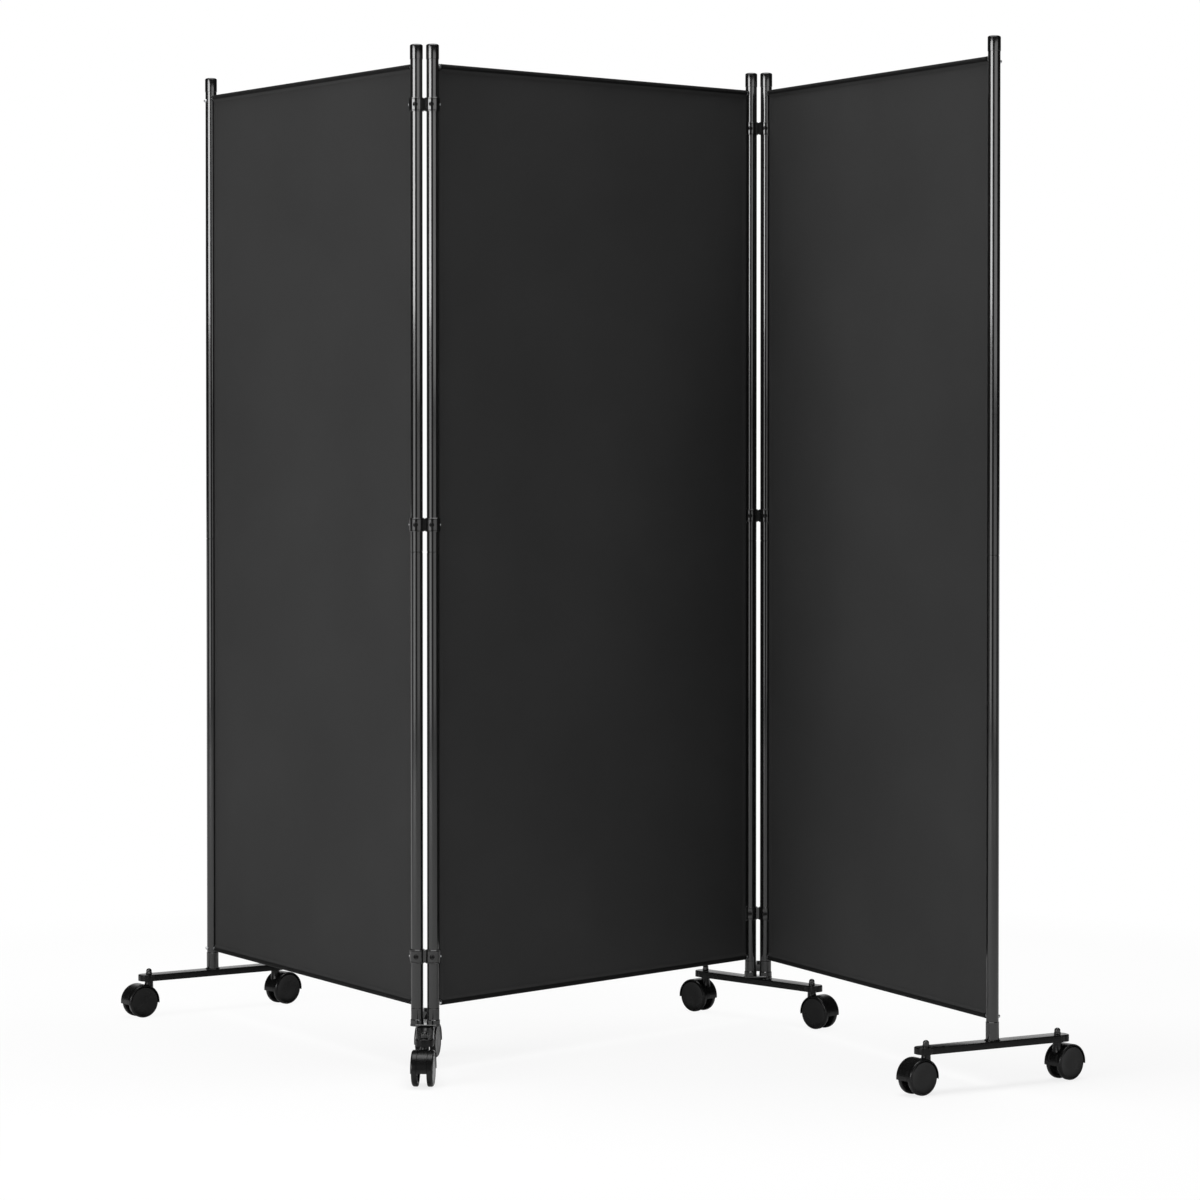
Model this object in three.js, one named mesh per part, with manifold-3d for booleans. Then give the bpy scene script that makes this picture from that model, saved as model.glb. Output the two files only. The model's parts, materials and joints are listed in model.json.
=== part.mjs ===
import * as THREE from "three";
import { mergeVertices } from "three/addons/utils/BufferGeometryUtils.js";
import Module from "manifold-3d";

// Three-panel folding ward screen on four feet with twin-wheel casters.
// Millimetres, +Z up, the floor at Z = 0. Headings are counterclockwise from +X.

// Overall sizes and the clearances that pieces share
const SCREEN_HEIGHT = 1800;
const PANEL_PITCH = 837; // between the two upright axes of one panel
const GAP = 0.3; // between pieces that touch or turn on each other
const OVERRUN = 5; // how far a cutter passes the face it enters

// How the screen stands, degrees
const CENTRE_HEADING = 46.2;
const LEFT_FOLD_ANGLE = 127.3; // between a panel and the line of its upright pair
const RIGHT_FOLD_ANGLE = 124.55;
const LEFT_FOLD_BAR_HEADING = 92;
const RIGHT_FOLD_BAR_HEADING = 135;
const LEFT_END_TOE = 2.6; // how far an end bar is turned from square to its panel
const RIGHT_END_TOE = 4.5;
const SQUARE = 90;
const HALF_TURN = 180;

// How far each caster's trail is turned from straight outward along its bar, degrees
const LEFT_END_TRAIL = { front: 2, rear: 9 };
const LEFT_FOLD_TRAIL = { front: -6, rear: -11 };
const RIGHT_FOLD_TRAIL = { front: 2, rear: 2 };
const RIGHT_END_TRAIL = { front: 7, rear: 10.5 };

// Upright tubes and their caps
const UPRIGHT_DIA = 21.6;
const UPRIGHT_WALL = 1.2;
const PAIR_SPACE = 7; // between the two uprights of one fold
const PAIR_PITCH = UPRIGHT_DIA + PAIR_SPACE;
const CAP_FIT = 0.25;
const CAP_WALL = 0.7;
const CAP_LENGTH = 27;
const CAP_CROWN = 3;
const CAP_BEVEL = 0.9;

// Casters
const WHEEL_DIA = 60; // across the flats of the tread
const WHEEL_TRAIL = 19; // from the stem axis to the axle
const WHEEL_FACE = 19; // from the middle of the caster to a wheel's outer face
const WHEEL_DOME = 0.6;
const WHEEL_BEVEL = 2;
const AXLE_DIA = 8;
const AXLE_Z = WHEEL_DIA / 2;
const HOOD_FIT = 1.2; // between the tread and the hood
const HOOD_WALL = 1.4;
const HOOD_LIP = 0.5; // hood edge beyond a wheel's outer face
const HOOD_WIDTH = 2 * (WHEEL_FACE + HOOD_LIP);
const HOOD_DROP = 3.3; // hood edge below the axle
const CORE_THICK = 13.6;
const CORE_SPACE = 1.45; // between the core and a wheel
const WHEEL_SPACE = CORE_THICK + 2 * CORE_SPACE;
const AXLE_BOSS_WALL = 2;
const AXLE_BOSS_DIA = AXLE_DIA + 2 * AXLE_BOSS_WALL;
const STEM_DIA = 7;
const STEM_ABOVE_AXLE = 16;
const STEM_BOTTOM = AXLE_Z + STEM_ABOVE_AXLE;
const NECK_WALL = 4.5;
const NECK_DIA = STEM_DIA + 2 * NECK_WALL;
const KNOB_RIM = 1.75; // knob beyond the stem
const KNOB_DIA = STEM_DIA + 2 * KNOB_RIM;
const KNOB_HEIGHT = 7;
const FLANGE_RIM = 0.75; // flange beyond the knob
const KNOB_FLANGE_DIA = KNOB_DIA + 2 * FLANGE_RIM;
const KNOB_FLANGE = 4;

// Foot bars
const BAR_LENGTH = 315;
const BAR_WIDTH = 31.5;
const BAR_HEIGHT = 12;
const BAR_OVER_WHEELS = 20; // bar top above the wheel tops
const BAR_TOP = WHEEL_DIA + BAR_OVER_WHEELS;
const BAR_CORNER = 13;
const BAR_EDGE = 1.3;
const BAR_WALL = 1.6;
const STEM_TO_BAR_END = 20;
const STEM_SPREAD = BAR_LENGTH - 2 * STEM_TO_BAR_END; // between the two caster stems of a bar

// Sockets that the uprights stand in
const SLEEVE_HEIGHT = 32; // sleeve top above the bar
const SOCKET_TOP = BAR_TOP + SLEEVE_HEIGHT;
const SPIGOT_LENGTH = 48; // above the sleeve
const SPIGOT_TOP = SOCKET_TOP + SPIGOT_LENGTH;
const SPIGOT_WALL = 1.5;
const STUB_RIM = 0.7; // stub beyond the upright
const STUB_DIA = UPRIGHT_DIA + 2 * STUB_RIM; // welded socket of an end bar
const WELD_SIZE = 2.5;
const PLATE_THICK = 3.5; // plate under the twin socket
const COLLAR_RIM = 1.5; // collar beyond the upright
const COLLAR_DIA = UPRIGHT_DIA + 2 * COLLAR_RIM;
const COLLAR_HEIGHT = 12; // collar top above the bar
const COLLAR_TOP = BAR_TOP + COLLAR_HEIGHT;
const WEB_THICK = 7;
const STUD_DIA = 10;
const NUT_RIM = 3.5; // nut flats beyond the stud
const NUT_FLATS = STUD_DIA + 2 * NUT_RIM;
const NUT_HEIGHT = 8;
const STUD_PROUD = 1; // below the nut

// Cloth and the rails in its sleeves
const CLOTH_BELOW_CAPS = 7;
const CLOTH_TOP = SCREEN_HEIGHT - CAP_LENGTH - CLOTH_BELOW_CAPS;
const CLOTH_ABOVE_SOCKETS = 3;
const CLOTH_BOTTOM = SOCKET_TOP + CLOTH_ABOVE_SOCKETS;
const CLOTH_THICK = 1;
const CLOTH_SIDE_GAP = 0.7;
const RAIL_DIA = 8.6;

// Clips, and the notches that leave room for them
const CLIP_FIT = 0.35;
const CLIP_WALL = 2.2;
const CLIP_HEIGHT = 24;
const CLIP_BLOCK_WIDTH = 15;
const TOP_CLIP_DROP = 72; // below the cloth's top
const TOP_CLIP_Z = CLOTH_TOP - TOP_CLIP_DROP;
const BOTTOM_CLIP_RISE = 88; // above the cloth's bottom
const BOTTOM_CLIP_Z = CLOTH_BOTTOM + BOTTOM_CLIP_RISE;
const middleClipShare = 0.5077; // of the way from the bottom clip to the top one
const MIDDLE_CLIP_Z = BOTTOM_CLIP_Z + middleClipShare * (TOP_CLIP_Z - BOTTOM_CLIP_Z);
const NOTCH_MARGIN = 1.5; // round a clip
const NOTCH_REACH = UPRIGHT_DIA / 2 + CLIP_FIT + CLIP_WALL + NOTCH_MARGIN; // from the upright axis

// Sides of each round, and how many straight pieces make a bend
const TUBE_SIDES = 24;
const SOCKET_SIDES = 18;
const WHEEL_SIDES = 20;
const HOOD_SIDES = 28;
const RAIL_SIDES = 16;
const PIVOT_SIDES = 12;
const STEM_SIDES = 10;
const BEND_STEPS = 4;
const SLEEVE_STEPS = 8;
const EDGE_STEPS = 1;
const HEX = 6;

// Shares of the knob's height and width that round its top
const knobShoulderShare = 0.5;
const knobCrownShare = 0.86;
const knobCrownWidthShare = 0.62;

const UPRIGHT_R = UPRIGHT_DIA / 2;
const BORE_R = UPRIGHT_R - UPRIGHT_WALL;
const SPIGOT_R = BORE_R - GAP;
const RAIL_R = RAIL_DIA / 2;
const SLEEVE_R = RAIL_R + GAP + CLOTH_THICK;
const TOP_RAIL_Z = CLOTH_TOP - SLEEVE_R;
const BOTTOM_RAIL_Z = CLOTH_BOTTOM + SLEEVE_R;
const BAR_BOTTOM = BAR_TOP - BAR_HEIGHT;
const BAR_CEILING = BAR_TOP - BAR_WALL;
const PLATE_BOTTOM = BAR_TOP + GAP;
const PLATE_TOP = PLATE_BOTTOM + PLATE_THICK;
const NUT_TOP = BAR_CEILING - GAP;
const NUT_BOTTOM = NUT_TOP - NUT_HEIGHT;
const TREAD_R = AXLE_Z / Math.cos(Math.PI / WHEEL_SIDES);
const HOOD_BORE_R = AXLE_Z + HOOD_FIT;
const HOOD_R = HOOD_BORE_R + HOOD_WALL;
const KNOB_BOTTOM = BAR_TOP + GAP;
const KNOB_START = KNOB_BOTTOM + KNOB_FLANGE;

const BLACK_TUBE = { color: 0x141414, roughness: 0.24, metalness: 0 };
const BLACK_STEEL = { color: 0x151515, roughness: 0.34, metalness: 0 };
const BLACK_PLASTIC = { color: 0x1a1a1a, roughness: 0.42, metalness: 0 };
const SATIN_PLASTIC = { color: 0x222222, roughness: 0.5, metalness: 0 };
const CHARCOAL_CLOTH = { color: 0x33312f, roughness: 0.92, metalness: 0 };
const ZINC_STEEL = { color: 0x8d8f91, roughness: 0.42, metalness: 1 };

const wasm = await Module();
wasm.setup();

function solidOf(geometry) {
  const bare = geometry.clone();
  bare.deleteAttribute("normal");
  bare.deleteAttribute("uv");
  const merged = mergeVertices(bare);
  const vertProperties = merged.attributes.position.array;
  const triVerts = new Uint32Array(merged.index.array);
  return new wasm.Manifold(new wasm.Mesh({ numProp: 3, vertProperties, triVerts }));
}

function geometryOf(body) {
  const mesh = body.getMesh();
  const geometry = new THREE.BufferGeometry();
  geometry.setAttribute("position", new THREE.BufferAttribute(mesh.vertProperties, 3));
  geometry.setIndex(new THREE.BufferAttribute(mesh.triVerts, 1));
  return geometry;
}

function join(first, ...others) {
  return geometryOf(others.reduce((sum, one) => sum.add(solidOf(one)), solidOf(first)));
}

function cut(first, ...tools) {
  return geometryOf(tools.reduce((rest, one) => rest.subtract(solidOf(one)), solidOf(first)));
}

// A profile of [radius, height] points turned about Z, listed with its outer side going up.
function turned(profile, sides) {
  const points = profile.map(([radius, height]) => new THREE.Vector2(radius, height));
  return new THREE.LatheGeometry(points, sides).rotateX(Math.PI / 2);
}

function rod(radius, low, high, sides) {
  return turned([[0, low], [radius, low], [radius, high], [0, high]], sides);
}

function ring(inner, outer, low, high, sides) {
  return turned([[outer, low], [outer, high], [inner, high], [inner, low], [outer, low]], sides);
}

function block(low, high) {
  const size = high.clone().sub(low);
  const centre = high.clone().add(low).multiplyScalar(1 / 2);
  return new THREE.BoxGeometry(size.x, size.y, size.z).translate(centre.x, centre.y, centre.z);
}

function at(x, y, z) {
  return new THREE.Vector3(x, y, z);
}

// A rectangle with round corners, centred on the origin.
function roundedRectangle(length, width, corner) {
  const x = length / 2 - corner;
  const y = width / 2 - corner;
  const shape = new THREE.Shape();
  shape.absarc(x, y, corner, 0, Math.PI / 2);
  shape.absarc(-x, y, corner, Math.PI / 2, Math.PI);
  shape.absarc(-x, -y, corner, Math.PI, (3 * Math.PI) / 2);
  shape.absarc(x, -y, corner, (3 * Math.PI) / 2, 2 * Math.PI);
  return shape;
}

function raised(shape, low, high, steps) {
  const settings = { depth: high - low, bevelEnabled: false, curveSegments: steps };
  return new THREE.ExtrudeGeometry(shape, settings).translate(0, 0, low);
}

function radians(degrees) {
  return THREE.MathUtils.degToRad(degrees);
}

function addNode(parent, name, geometry, look) {
  const faceted = geometry.index ? geometry.toNonIndexed() : geometry;
  faceted.computeVertexNormals();
  const mesh = new THREE.Mesh(faceted, new THREE.MeshStandardMaterial(look));
  mesh.name = name;
  parent.add(mesh);
}

function addGroup(parent, name, x, turn) {
  const group = new THREE.Group();
  group.name = name;
  group.position.x = x;
  group.rotation.z = radians(turn);
  parent.add(group);
  return group;
}

function upright() {
  return ring(BORE_R, UPRIGHT_R, SOCKET_TOP + GAP, SCREEN_HEIGHT - CAP_CROWN - GAP, TUBE_SIDES);
}

function uprightCap() {
  const inner = UPRIGHT_R + CAP_FIT;
  const outer = inner + CAP_WALL;
  const ceiling = SCREEN_HEIGHT - CAP_CROWN;
  const foot = SCREEN_HEIGHT - CAP_LENGTH;
  const skirt = [[0, ceiling], [inner, ceiling], [inner, foot], [outer, foot]];
  const bevel = [[outer, SCREEN_HEIGHT - CAP_BEVEL], [outer - CAP_BEVEL, SCREEN_HEIGHT]];
  return turned([...skirt, ...bevel, [0, SCREEN_HEIGHT]], TUBE_SIDES);
}

// A round bar along X between the two uprights of a panel.
function acrossPanel(radius, sideGap, height, sides) {
  const start = UPRIGHT_R + sideGap;
  return rod(radius, start, PANEL_PITCH - start, sides).rotateY(Math.PI / 2).translate(0, 0, height);
}

function clipNotch(foldX, clipZ) {
  const reach = CLIP_HEIGHT / 2 + NOTCH_MARGIN;
  const low = at(foldX - NOTCH_REACH, -SLEEVE_R, clipZ - reach);
  const high = at(foldX + NOTCH_REACH, SLEEVE_R, clipZ + reach);
  return block(low, high);
}

// The cloth seen along its rails: one thickness, with a round sleeve at the top and bottom.
function clothSection() {
  const lean = Math.asin(CLOTH_THICK / 2 / SLEEVE_R);
  const quarter = Math.PI / 2;
  const section = new THREE.Shape();
  section.absarc(0, TOP_RAIL_Z, SLEEVE_R, lean - quarter, 3 * quarter - lean);
  section.absarc(0, BOTTOM_RAIL_Z, SLEEVE_R, quarter + lean, 5 * quarter - lean);
  for (const railZ of [TOP_RAIL_Z, BOTTOM_RAIL_Z]) {
    const bore = new THREE.Path().absarc(0, railZ, RAIL_R + GAP, 0, 4 * quarter);
    section.holes.push(bore);
  }
  return section;
}

function cloth(foldEnds) {
  const start = UPRIGHT_R + CLOTH_SIDE_GAP;
  const drawn = raised(clothSection(), start, PANEL_PITCH - start, SLEEVE_STEPS);
  drawn.rotateX(Math.PI / 2).rotateZ(Math.PI / 2);
  const clipHeights = [TOP_CLIP_Z, MIDDLE_CLIP_Z, BOTTOM_CLIP_Z];
  const notches = foldEnds.flatMap((foldX) => clipHeights.map((clipZ) => clipNotch(foldX, clipZ)));
  return cut(drawn, ...notches);
}

// Local X runs from the first upright axis to the second.
function addPanel(parent, name, x, turn, ends, foldEnds) {
  const panel = addGroup(parent, name, x, turn);
  ends.forEach((end, place) => {
    const across = place * PANEL_PITCH;
    addNode(panel, `${name}_${end}_upright`, upright().translate(across, 0, 0), BLACK_TUBE);
    addNode(panel, `${name}_${end}_cap`, uprightCap().translate(across, 0, 0), BLACK_PLASTIC);
  });
  addNode(panel, `${name}_top_rail`, acrossPanel(RAIL_R, GAP, TOP_RAIL_Z, RAIL_SIDES), ZINC_STEEL);
  addNode(panel, `${name}_bottom_rail`, acrossPanel(RAIL_R, GAP, BOTTOM_RAIL_Z, RAIL_SIDES), ZINC_STEEL);
  addNode(panel, `${name}_cloth`, cloth(foldEnds), CHARCOAL_CLOTH);
  return panel;
}

function clip(height) {
  const low = height - CLIP_HEIGHT / 2;
  const high = height + CLIP_HEIGHT / 2;
  const bore = UPRIGHT_R + CLIP_FIT;
  const firstRing = rod(bore + CLIP_WALL, low, high, SOCKET_SIDES);
  const bridge = block(at(0, -CLIP_BLOCK_WIDTH / 2, low), at(PAIR_PITCH, CLIP_BLOCK_WIDTH / 2, high));
  const firstBore = rod(bore, low - OVERRUN, high + OVERRUN, SOCKET_SIDES);
  const outside = join(firstRing, firstRing.clone().translate(PAIR_PITCH, 0, 0), bridge);
  return cut(outside, firstBore, firstBore.clone().translate(PAIR_PITCH, 0, 0));
}

// Sleeve that an upright stands on, with the hollow spigot that enters it.
function socketTop(sleeveR, floor) {
  const spigotBore = SPIGOT_R - SPIGOT_WALL;
  const outside = [[sleeveR, SOCKET_TOP], [SPIGOT_R, SOCKET_TOP], [SPIGOT_R, SPIGOT_TOP]];
  return [...outside, [spigotBore, SPIGOT_TOP], [spigotBore, floor], [0, floor]];
}

function socketPost() {
  const collarR = COLLAR_DIA / 2;
  const foot = [[0, PLATE_BOTTOM], [collarR, PLATE_BOTTOM], [collarR, COLLAR_TOP], [UPRIGHT_R, COLLAR_TOP]];
  return turned([...foot, ...socketTop(UPRIGHT_R, PLATE_TOP)], SOCKET_SIDES);
}

function twinSocket() {
  const post = socketPost();
  const middle = PAIR_PITCH / 2;
  const collarR = COLLAR_DIA / 2;
  const plate = block(at(0, -collarR, PLATE_BOTTOM), at(PAIR_PITCH, collarR, PLATE_TOP));
  const webLow = at(SPIGOT_R, -WEB_THICK / 2, COLLAR_TOP);
  const webHigh = at(PAIR_PITCH - SPIGOT_R, WEB_THICK / 2, SOCKET_TOP);
  const stud = rod(STUD_DIA / 2, NUT_BOTTOM - STUD_PROUD, PLATE_TOP, PIVOT_SIDES).translate(middle, 0, 0);
  return join(plate, post, post.clone().translate(PAIR_PITCH, 0, 0), block(webLow, webHigh), stud);
}

function pivotNut() {
  const hexR = NUT_FLATS / 2 / Math.cos(Math.PI / HEX);
  const hole = rod(STUD_DIA / 2 + GAP, NUT_BOTTOM - OVERRUN, NUT_TOP + OVERRUN, PIVOT_SIDES);
  return cut(rod(hexR, NUT_BOTTOM, NUT_TOP, HEX), hole).translate(PAIR_PITCH / 2, 0, 0);
}

// Pressed channel, open underneath, with a rounded upper edge.
function plainBar() {
  const outline = roundedRectangle(BAR_LENGTH, BAR_WIDTH, BAR_CORNER);
  const settings = {
    depth: BAR_HEIGHT,
    bevelThickness: BAR_EDGE,
    bevelSize: BAR_EDGE,
    bevelOffset: -BAR_EDGE,
    bevelSegments: EDGE_STEPS,
    curveSegments: BEND_STEPS,
  };
  const pressed = new THREE.ExtrudeGeometry(outline, settings).translate(0, 0, BAR_BOTTOM - BAR_EDGE);
  const inset = 2 * BAR_WALL;
  const inside = roundedRectangle(BAR_LENGTH - inset, BAR_WIDTH - inset, BAR_CORNER - BAR_WALL);
  const hollow = raised(inside, BAR_BOTTOM - OVERRUN, BAR_CEILING, BEND_STEPS);
  const under = block(at(-BAR_LENGTH, -BAR_WIDTH, 0), at(BAR_LENGTH, BAR_WIDTH, BAR_BOTTOM));
  const stemHole = rod(STEM_DIA / 2 + GAP, BAR_BOTTOM, BAR_TOP + OVERRUN, STEM_SIDES);
  const frontHole = stemHole.clone().translate(-STEM_SPREAD / 2, 0, 0);
  const rearHole = stemHole.clone().translate(STEM_SPREAD / 2, 0, 0);
  return cut(pressed, hollow, under, frontHole, rearHole);
}

function foldBar() {
  return cut(plainBar(), rod(STUD_DIA / 2 + GAP, BAR_BOTTOM, BAR_TOP + OVERRUN, PIVOT_SIDES));
}

function endBar() {
  const stubR = STUB_DIA / 2;
  const weldR = stubR + WELD_SIZE;
  const foot = [[0, BAR_CEILING], [weldR, BAR_CEILING], [weldR, BAR_TOP], [stubR, BAR_TOP + WELD_SIZE]];
  const stub = turned([...foot, ...socketTop(stubR, BAR_TOP)], SOCKET_SIDES);
  return join(plainBar(), stub);
}

function stemBolt() {
  const stemR = STEM_DIA / 2;
  const flangeR = KNOB_FLANGE_DIA / 2;
  const knobR = KNOB_DIA / 2;
  const shank = [[0, STEM_BOTTOM], [stemR, STEM_BOTTOM], [stemR, KNOB_BOTTOM]];
  const flange = [[flangeR, KNOB_BOTTOM], [flangeR, KNOB_START], [knobR, KNOB_START]];
  const knob = [
    [knobR, KNOB_START + KNOB_HEIGHT * knobShoulderShare],
    [knobR * knobCrownWidthShare, KNOB_START + KNOB_HEIGHT * knobCrownShare],
    [0, KNOB_START + KNOB_HEIGHT],
  ];
  return turned([...shank, ...flange, ...knob], STEM_SIDES);
}

// A cylinder along Y about the axle, between two distances from the caster's middle.
function aboutAxle(radius, low, high, sides) {
  return rod(radius, low, high, sides).rotateX(-Math.PI / 2).translate(WHEEL_TRAIL, 0, AXLE_Z);
}

// The stem stands at the origin and the axle trails it along +X.
function casterHousing() {
  const side = HOOD_WIDTH / 2;
  const core = CORE_THICK / 2;
  const reach = WHEEL_TRAIL + HOOD_R + OVERRUN;
  const neck = rod(NECK_DIA / 2, AXLE_Z, BAR_CEILING - GAP, PIVOT_SIDES);
  const hood = join(aboutAxle(HOOD_R, -side, side, HOOD_SIDES), neck);
  const nearWheelRoom = aboutAxle(HOOD_BORE_R, core, side + OVERRUN, HOOD_SIDES);
  const farWheelRoom = aboutAxle(HOOD_BORE_R, -side - OVERRUN, -core, HOOD_SIDES);
  const under = block(at(-reach, -reach, -OVERRUN), at(reach, reach, AXLE_Z - HOOD_DROP));
  const shell = cut(hood, nearWheelRoom, farWheelRoom, under);
  const boss = aboutAxle(AXLE_BOSS_DIA / 2, -core, core, PIVOT_SIDES);
  const axleBore = aboutAxle(AXLE_DIA / 2 + GAP, -reach, reach, PIVOT_SIDES);
  const stemBore = rod(STEM_DIA / 2 + GAP, STEM_BOTTOM - GAP, BAR_TOP, STEM_SIDES);
  return cut(join(shell, boss), axleBore, stemBore);
}

// Two wheels on one axle along Y, about the origin, with a flat of the tread at the bottom.
function wheelSet() {
  const axleR = AXLE_DIA / 2;
  const inner = WHEEL_SPACE / 2;
  const rimR = TREAD_R - WHEEL_BEVEL;
  const rimFace = WHEEL_FACE - WHEEL_DOME;
  const half = [[axleR, inner], [TREAD_R, inner], [TREAD_R, rimFace - WHEEL_BEVEL], [rimR, rimFace]];
  const upper = [...half, [0, WHEEL_FACE]];
  const lower = upper.map(([radius, along]) => [radius, -along]).reverse();
  const points = [...lower, ...upper].map(([radius, along]) => new THREE.Vector2(radius, along));
  return new THREE.LatheGeometry(points, WHEEL_SIDES, Math.PI / WHEEL_SIDES);
}

function addCaster(bar, name, x, turn) {
  addNode(bar, `${name}_stem_bolt`, stemBolt().translate(x, 0, 0), BLACK_PLASTIC);
  const caster = addGroup(bar, `${name}_swivel`, x, turn);
  addNode(caster, `${name}_housing`, casterHousing(), SATIN_PLASTIC);
  const wheels = addGroup(caster, `${name}_wheels_axle`, WHEEL_TRAIL, 0);
  wheels.position.z = AXLE_Z;
  addNode(wheels, `${name}_wheels`, wheelSet(), SATIN_PLASTIC);
}

// The front caster stands at the bar's -X end and trails outward, as the rear one does at +X.
function addFoot(parent, name, barName, geometry, trail) {
  addNode(parent, barName, geometry, BLACK_STEEL);
  addCaster(parent, `${name}_front_caster`, -STEM_SPREAD / 2, HALF_TURN + trail.front);
  addCaster(parent, `${name}_rear_caster`, STEM_SPREAD / 2, trail.rear);
}

// Clips, twin socket and nut turn together about the centre panel's upright.
function addFold(parent, name, x, turn, barTurn, trail) {
  const fold = addGroup(parent, `${name}_link`, x, turn);
  addNode(fold, `${name}_top_clip`, clip(TOP_CLIP_Z), BLACK_PLASTIC);
  addNode(fold, `${name}_middle_clip`, clip(MIDDLE_CLIP_Z), BLACK_PLASTIC);
  addNode(fold, `${name}_bottom_clip`, clip(BOTTOM_CLIP_Z), BLACK_PLASTIC);
  addNode(fold, `${name}_twin_socket`, twinSocket(), BLACK_STEEL);
  addNode(fold, `${name}_pivot_nut`, pivotNut(), ZINC_STEEL);
  const foot = addGroup(fold, `${name}_foot`, PAIR_PITCH / 2, barTurn);
  addFoot(foot, name, `${name}_foot_bar`, foldBar(), trail);
  return fold;
}

// The end foot is fixed to its panel, nearly square to it, under the outer upright.
function addEndFoot(panel, name, turn, trail) {
  const foot = addGroup(panel, `${name}_foot`, PANEL_PITCH, turn);
  addFoot(foot, name, `${name}_foot_bar`, endBar(), trail);
}

function addLeftSide(centre) {
  const turn = LEFT_FOLD_ANGLE;
  const barTurn = LEFT_FOLD_BAR_HEADING - CENTRE_HEADING - turn;
  const link = addFold(centre, "left_fold", 0, turn, barTurn, LEFT_FOLD_TRAIL);
  const panel = addPanel(link, "left_panel", PAIR_PITCH, turn - HALF_TURN, ["inner", "outer"], [0]);
  addEndFoot(panel, "left_end", LEFT_END_TOE - SQUARE, LEFT_END_TRAIL);
}

function addRightSide(centre) {
  const turn = RIGHT_FOLD_ANGLE - HALF_TURN;
  const barTurn = RIGHT_FOLD_BAR_HEADING - CENTRE_HEADING - turn;
  const link = addFold(centre, "right_fold", PANEL_PITCH, turn, barTurn, RIGHT_FOLD_TRAIL);
  const panel = addPanel(link, "right_panel", PAIR_PITCH, turn, ["inner", "outer"], [0]);
  addEndFoot(panel, "right_end", RIGHT_END_TOE + SQUARE, RIGHT_END_TRAIL);
}

const standing = new THREE.Group();
const folds = [0, PANEL_PITCH];
const centre = addPanel(standing, "centre_panel", 0, CENTRE_HEADING, ["left", "right"], folds);
addLeftSide(centre);
addRightSide(centre);

// The origin is put under the middle of the standing screen, on the floor.
standing.updateMatrixWorld(true);
const extent = new THREE.Box3().setFromObject(standing, true);
const middle = extent.getCenter(new THREE.Vector3());
standing.position.set(-middle.x, -middle.y, -extent.min.z);

const screen = new THREE.Group();
screen.name = "ward_screen";
screen.add(standing);

export default screen;
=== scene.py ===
import json
import math

import bmesh
import bpy
from mathutils import Matrix, Vector


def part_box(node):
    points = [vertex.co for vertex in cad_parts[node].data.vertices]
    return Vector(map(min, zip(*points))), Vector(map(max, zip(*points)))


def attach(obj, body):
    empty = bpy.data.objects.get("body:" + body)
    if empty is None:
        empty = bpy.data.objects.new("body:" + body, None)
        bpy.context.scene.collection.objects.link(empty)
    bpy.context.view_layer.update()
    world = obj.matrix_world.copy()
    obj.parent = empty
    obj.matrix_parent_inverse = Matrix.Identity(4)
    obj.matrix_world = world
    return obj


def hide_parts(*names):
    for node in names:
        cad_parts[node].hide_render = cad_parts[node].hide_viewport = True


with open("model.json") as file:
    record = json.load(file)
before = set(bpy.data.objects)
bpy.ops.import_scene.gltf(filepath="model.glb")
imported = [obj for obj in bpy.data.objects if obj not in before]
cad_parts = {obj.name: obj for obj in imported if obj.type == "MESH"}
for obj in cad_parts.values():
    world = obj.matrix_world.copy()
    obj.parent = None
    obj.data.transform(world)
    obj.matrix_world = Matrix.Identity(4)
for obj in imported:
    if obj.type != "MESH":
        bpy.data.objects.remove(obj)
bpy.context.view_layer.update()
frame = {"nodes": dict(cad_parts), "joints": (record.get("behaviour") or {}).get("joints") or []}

# A folding ward screen, dressed in the row frame. Metres.
MM = 0.001

# The photograph's frame and the camera that it was fitted to
FRAME_PIXELS = 1200
FOCAL_PIXELS = 3998.4
AXIS_COLUMN_PIXELS = 599.5
AXIS_ROW_PIXELS = 487.6
SENSOR_MM = 36
CAMERA_PLACE = (0.0367, -7.2822, 1.1612)
CAMERA_PITCH_DOWN = 1.124
CAMERA_REACH = 200

# How fine the meshes are: steps round a circle, and the angle past which an edge stays sharp
ROUND_STEPS = 64
WHEEL_STEPS = 96
KNOB_STEPS = 40
SCREW_STEPS = 36
SMALL_STEPS = 32
SHARP_ANGLE = 32
CLOTH_SHARP_ANGLE = 50
GROWN_SHARP_ANGLE = 35
FINE_EDGE = 0.3 * MM
SOFT_EDGE = 0.4 * MM
OVERLAP = MM
TINY = 1e-6

# Tubes and caps
TUBE_R = 10.8 * MM
TUBE_WALL = 1.2 * MM
TUBE_JOINT_Z = 912 * MM
JOINT_GROOVE = 0.5 * MM
CAP_R = 11.45 * MM
CAP_BORE = 11.05 * MM
CAP_CROWN = 3 * MM
CAP_DOME = 3.8 * MM
CAP_DOME_STEPS = 10
CAP_DOME_TIP = 0.2 * MM
CAP_SIDE_FULLNESS = 0.7
CAP_TOP_FULLNESS = 0.8

# Rails
RAIL_R = 4.3 * MM
RAIL_GAP = 0.3 * MM
RAIL_SCREW_DROP = 5 * MM
RAIL_SCREW = {"head_r": 3.2 * MM, "head_height": 3.8 * MM}
RAIL_SCREW_SIDES = {"left_panel": (1, -1), "right_panel": (1,)}

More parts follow.
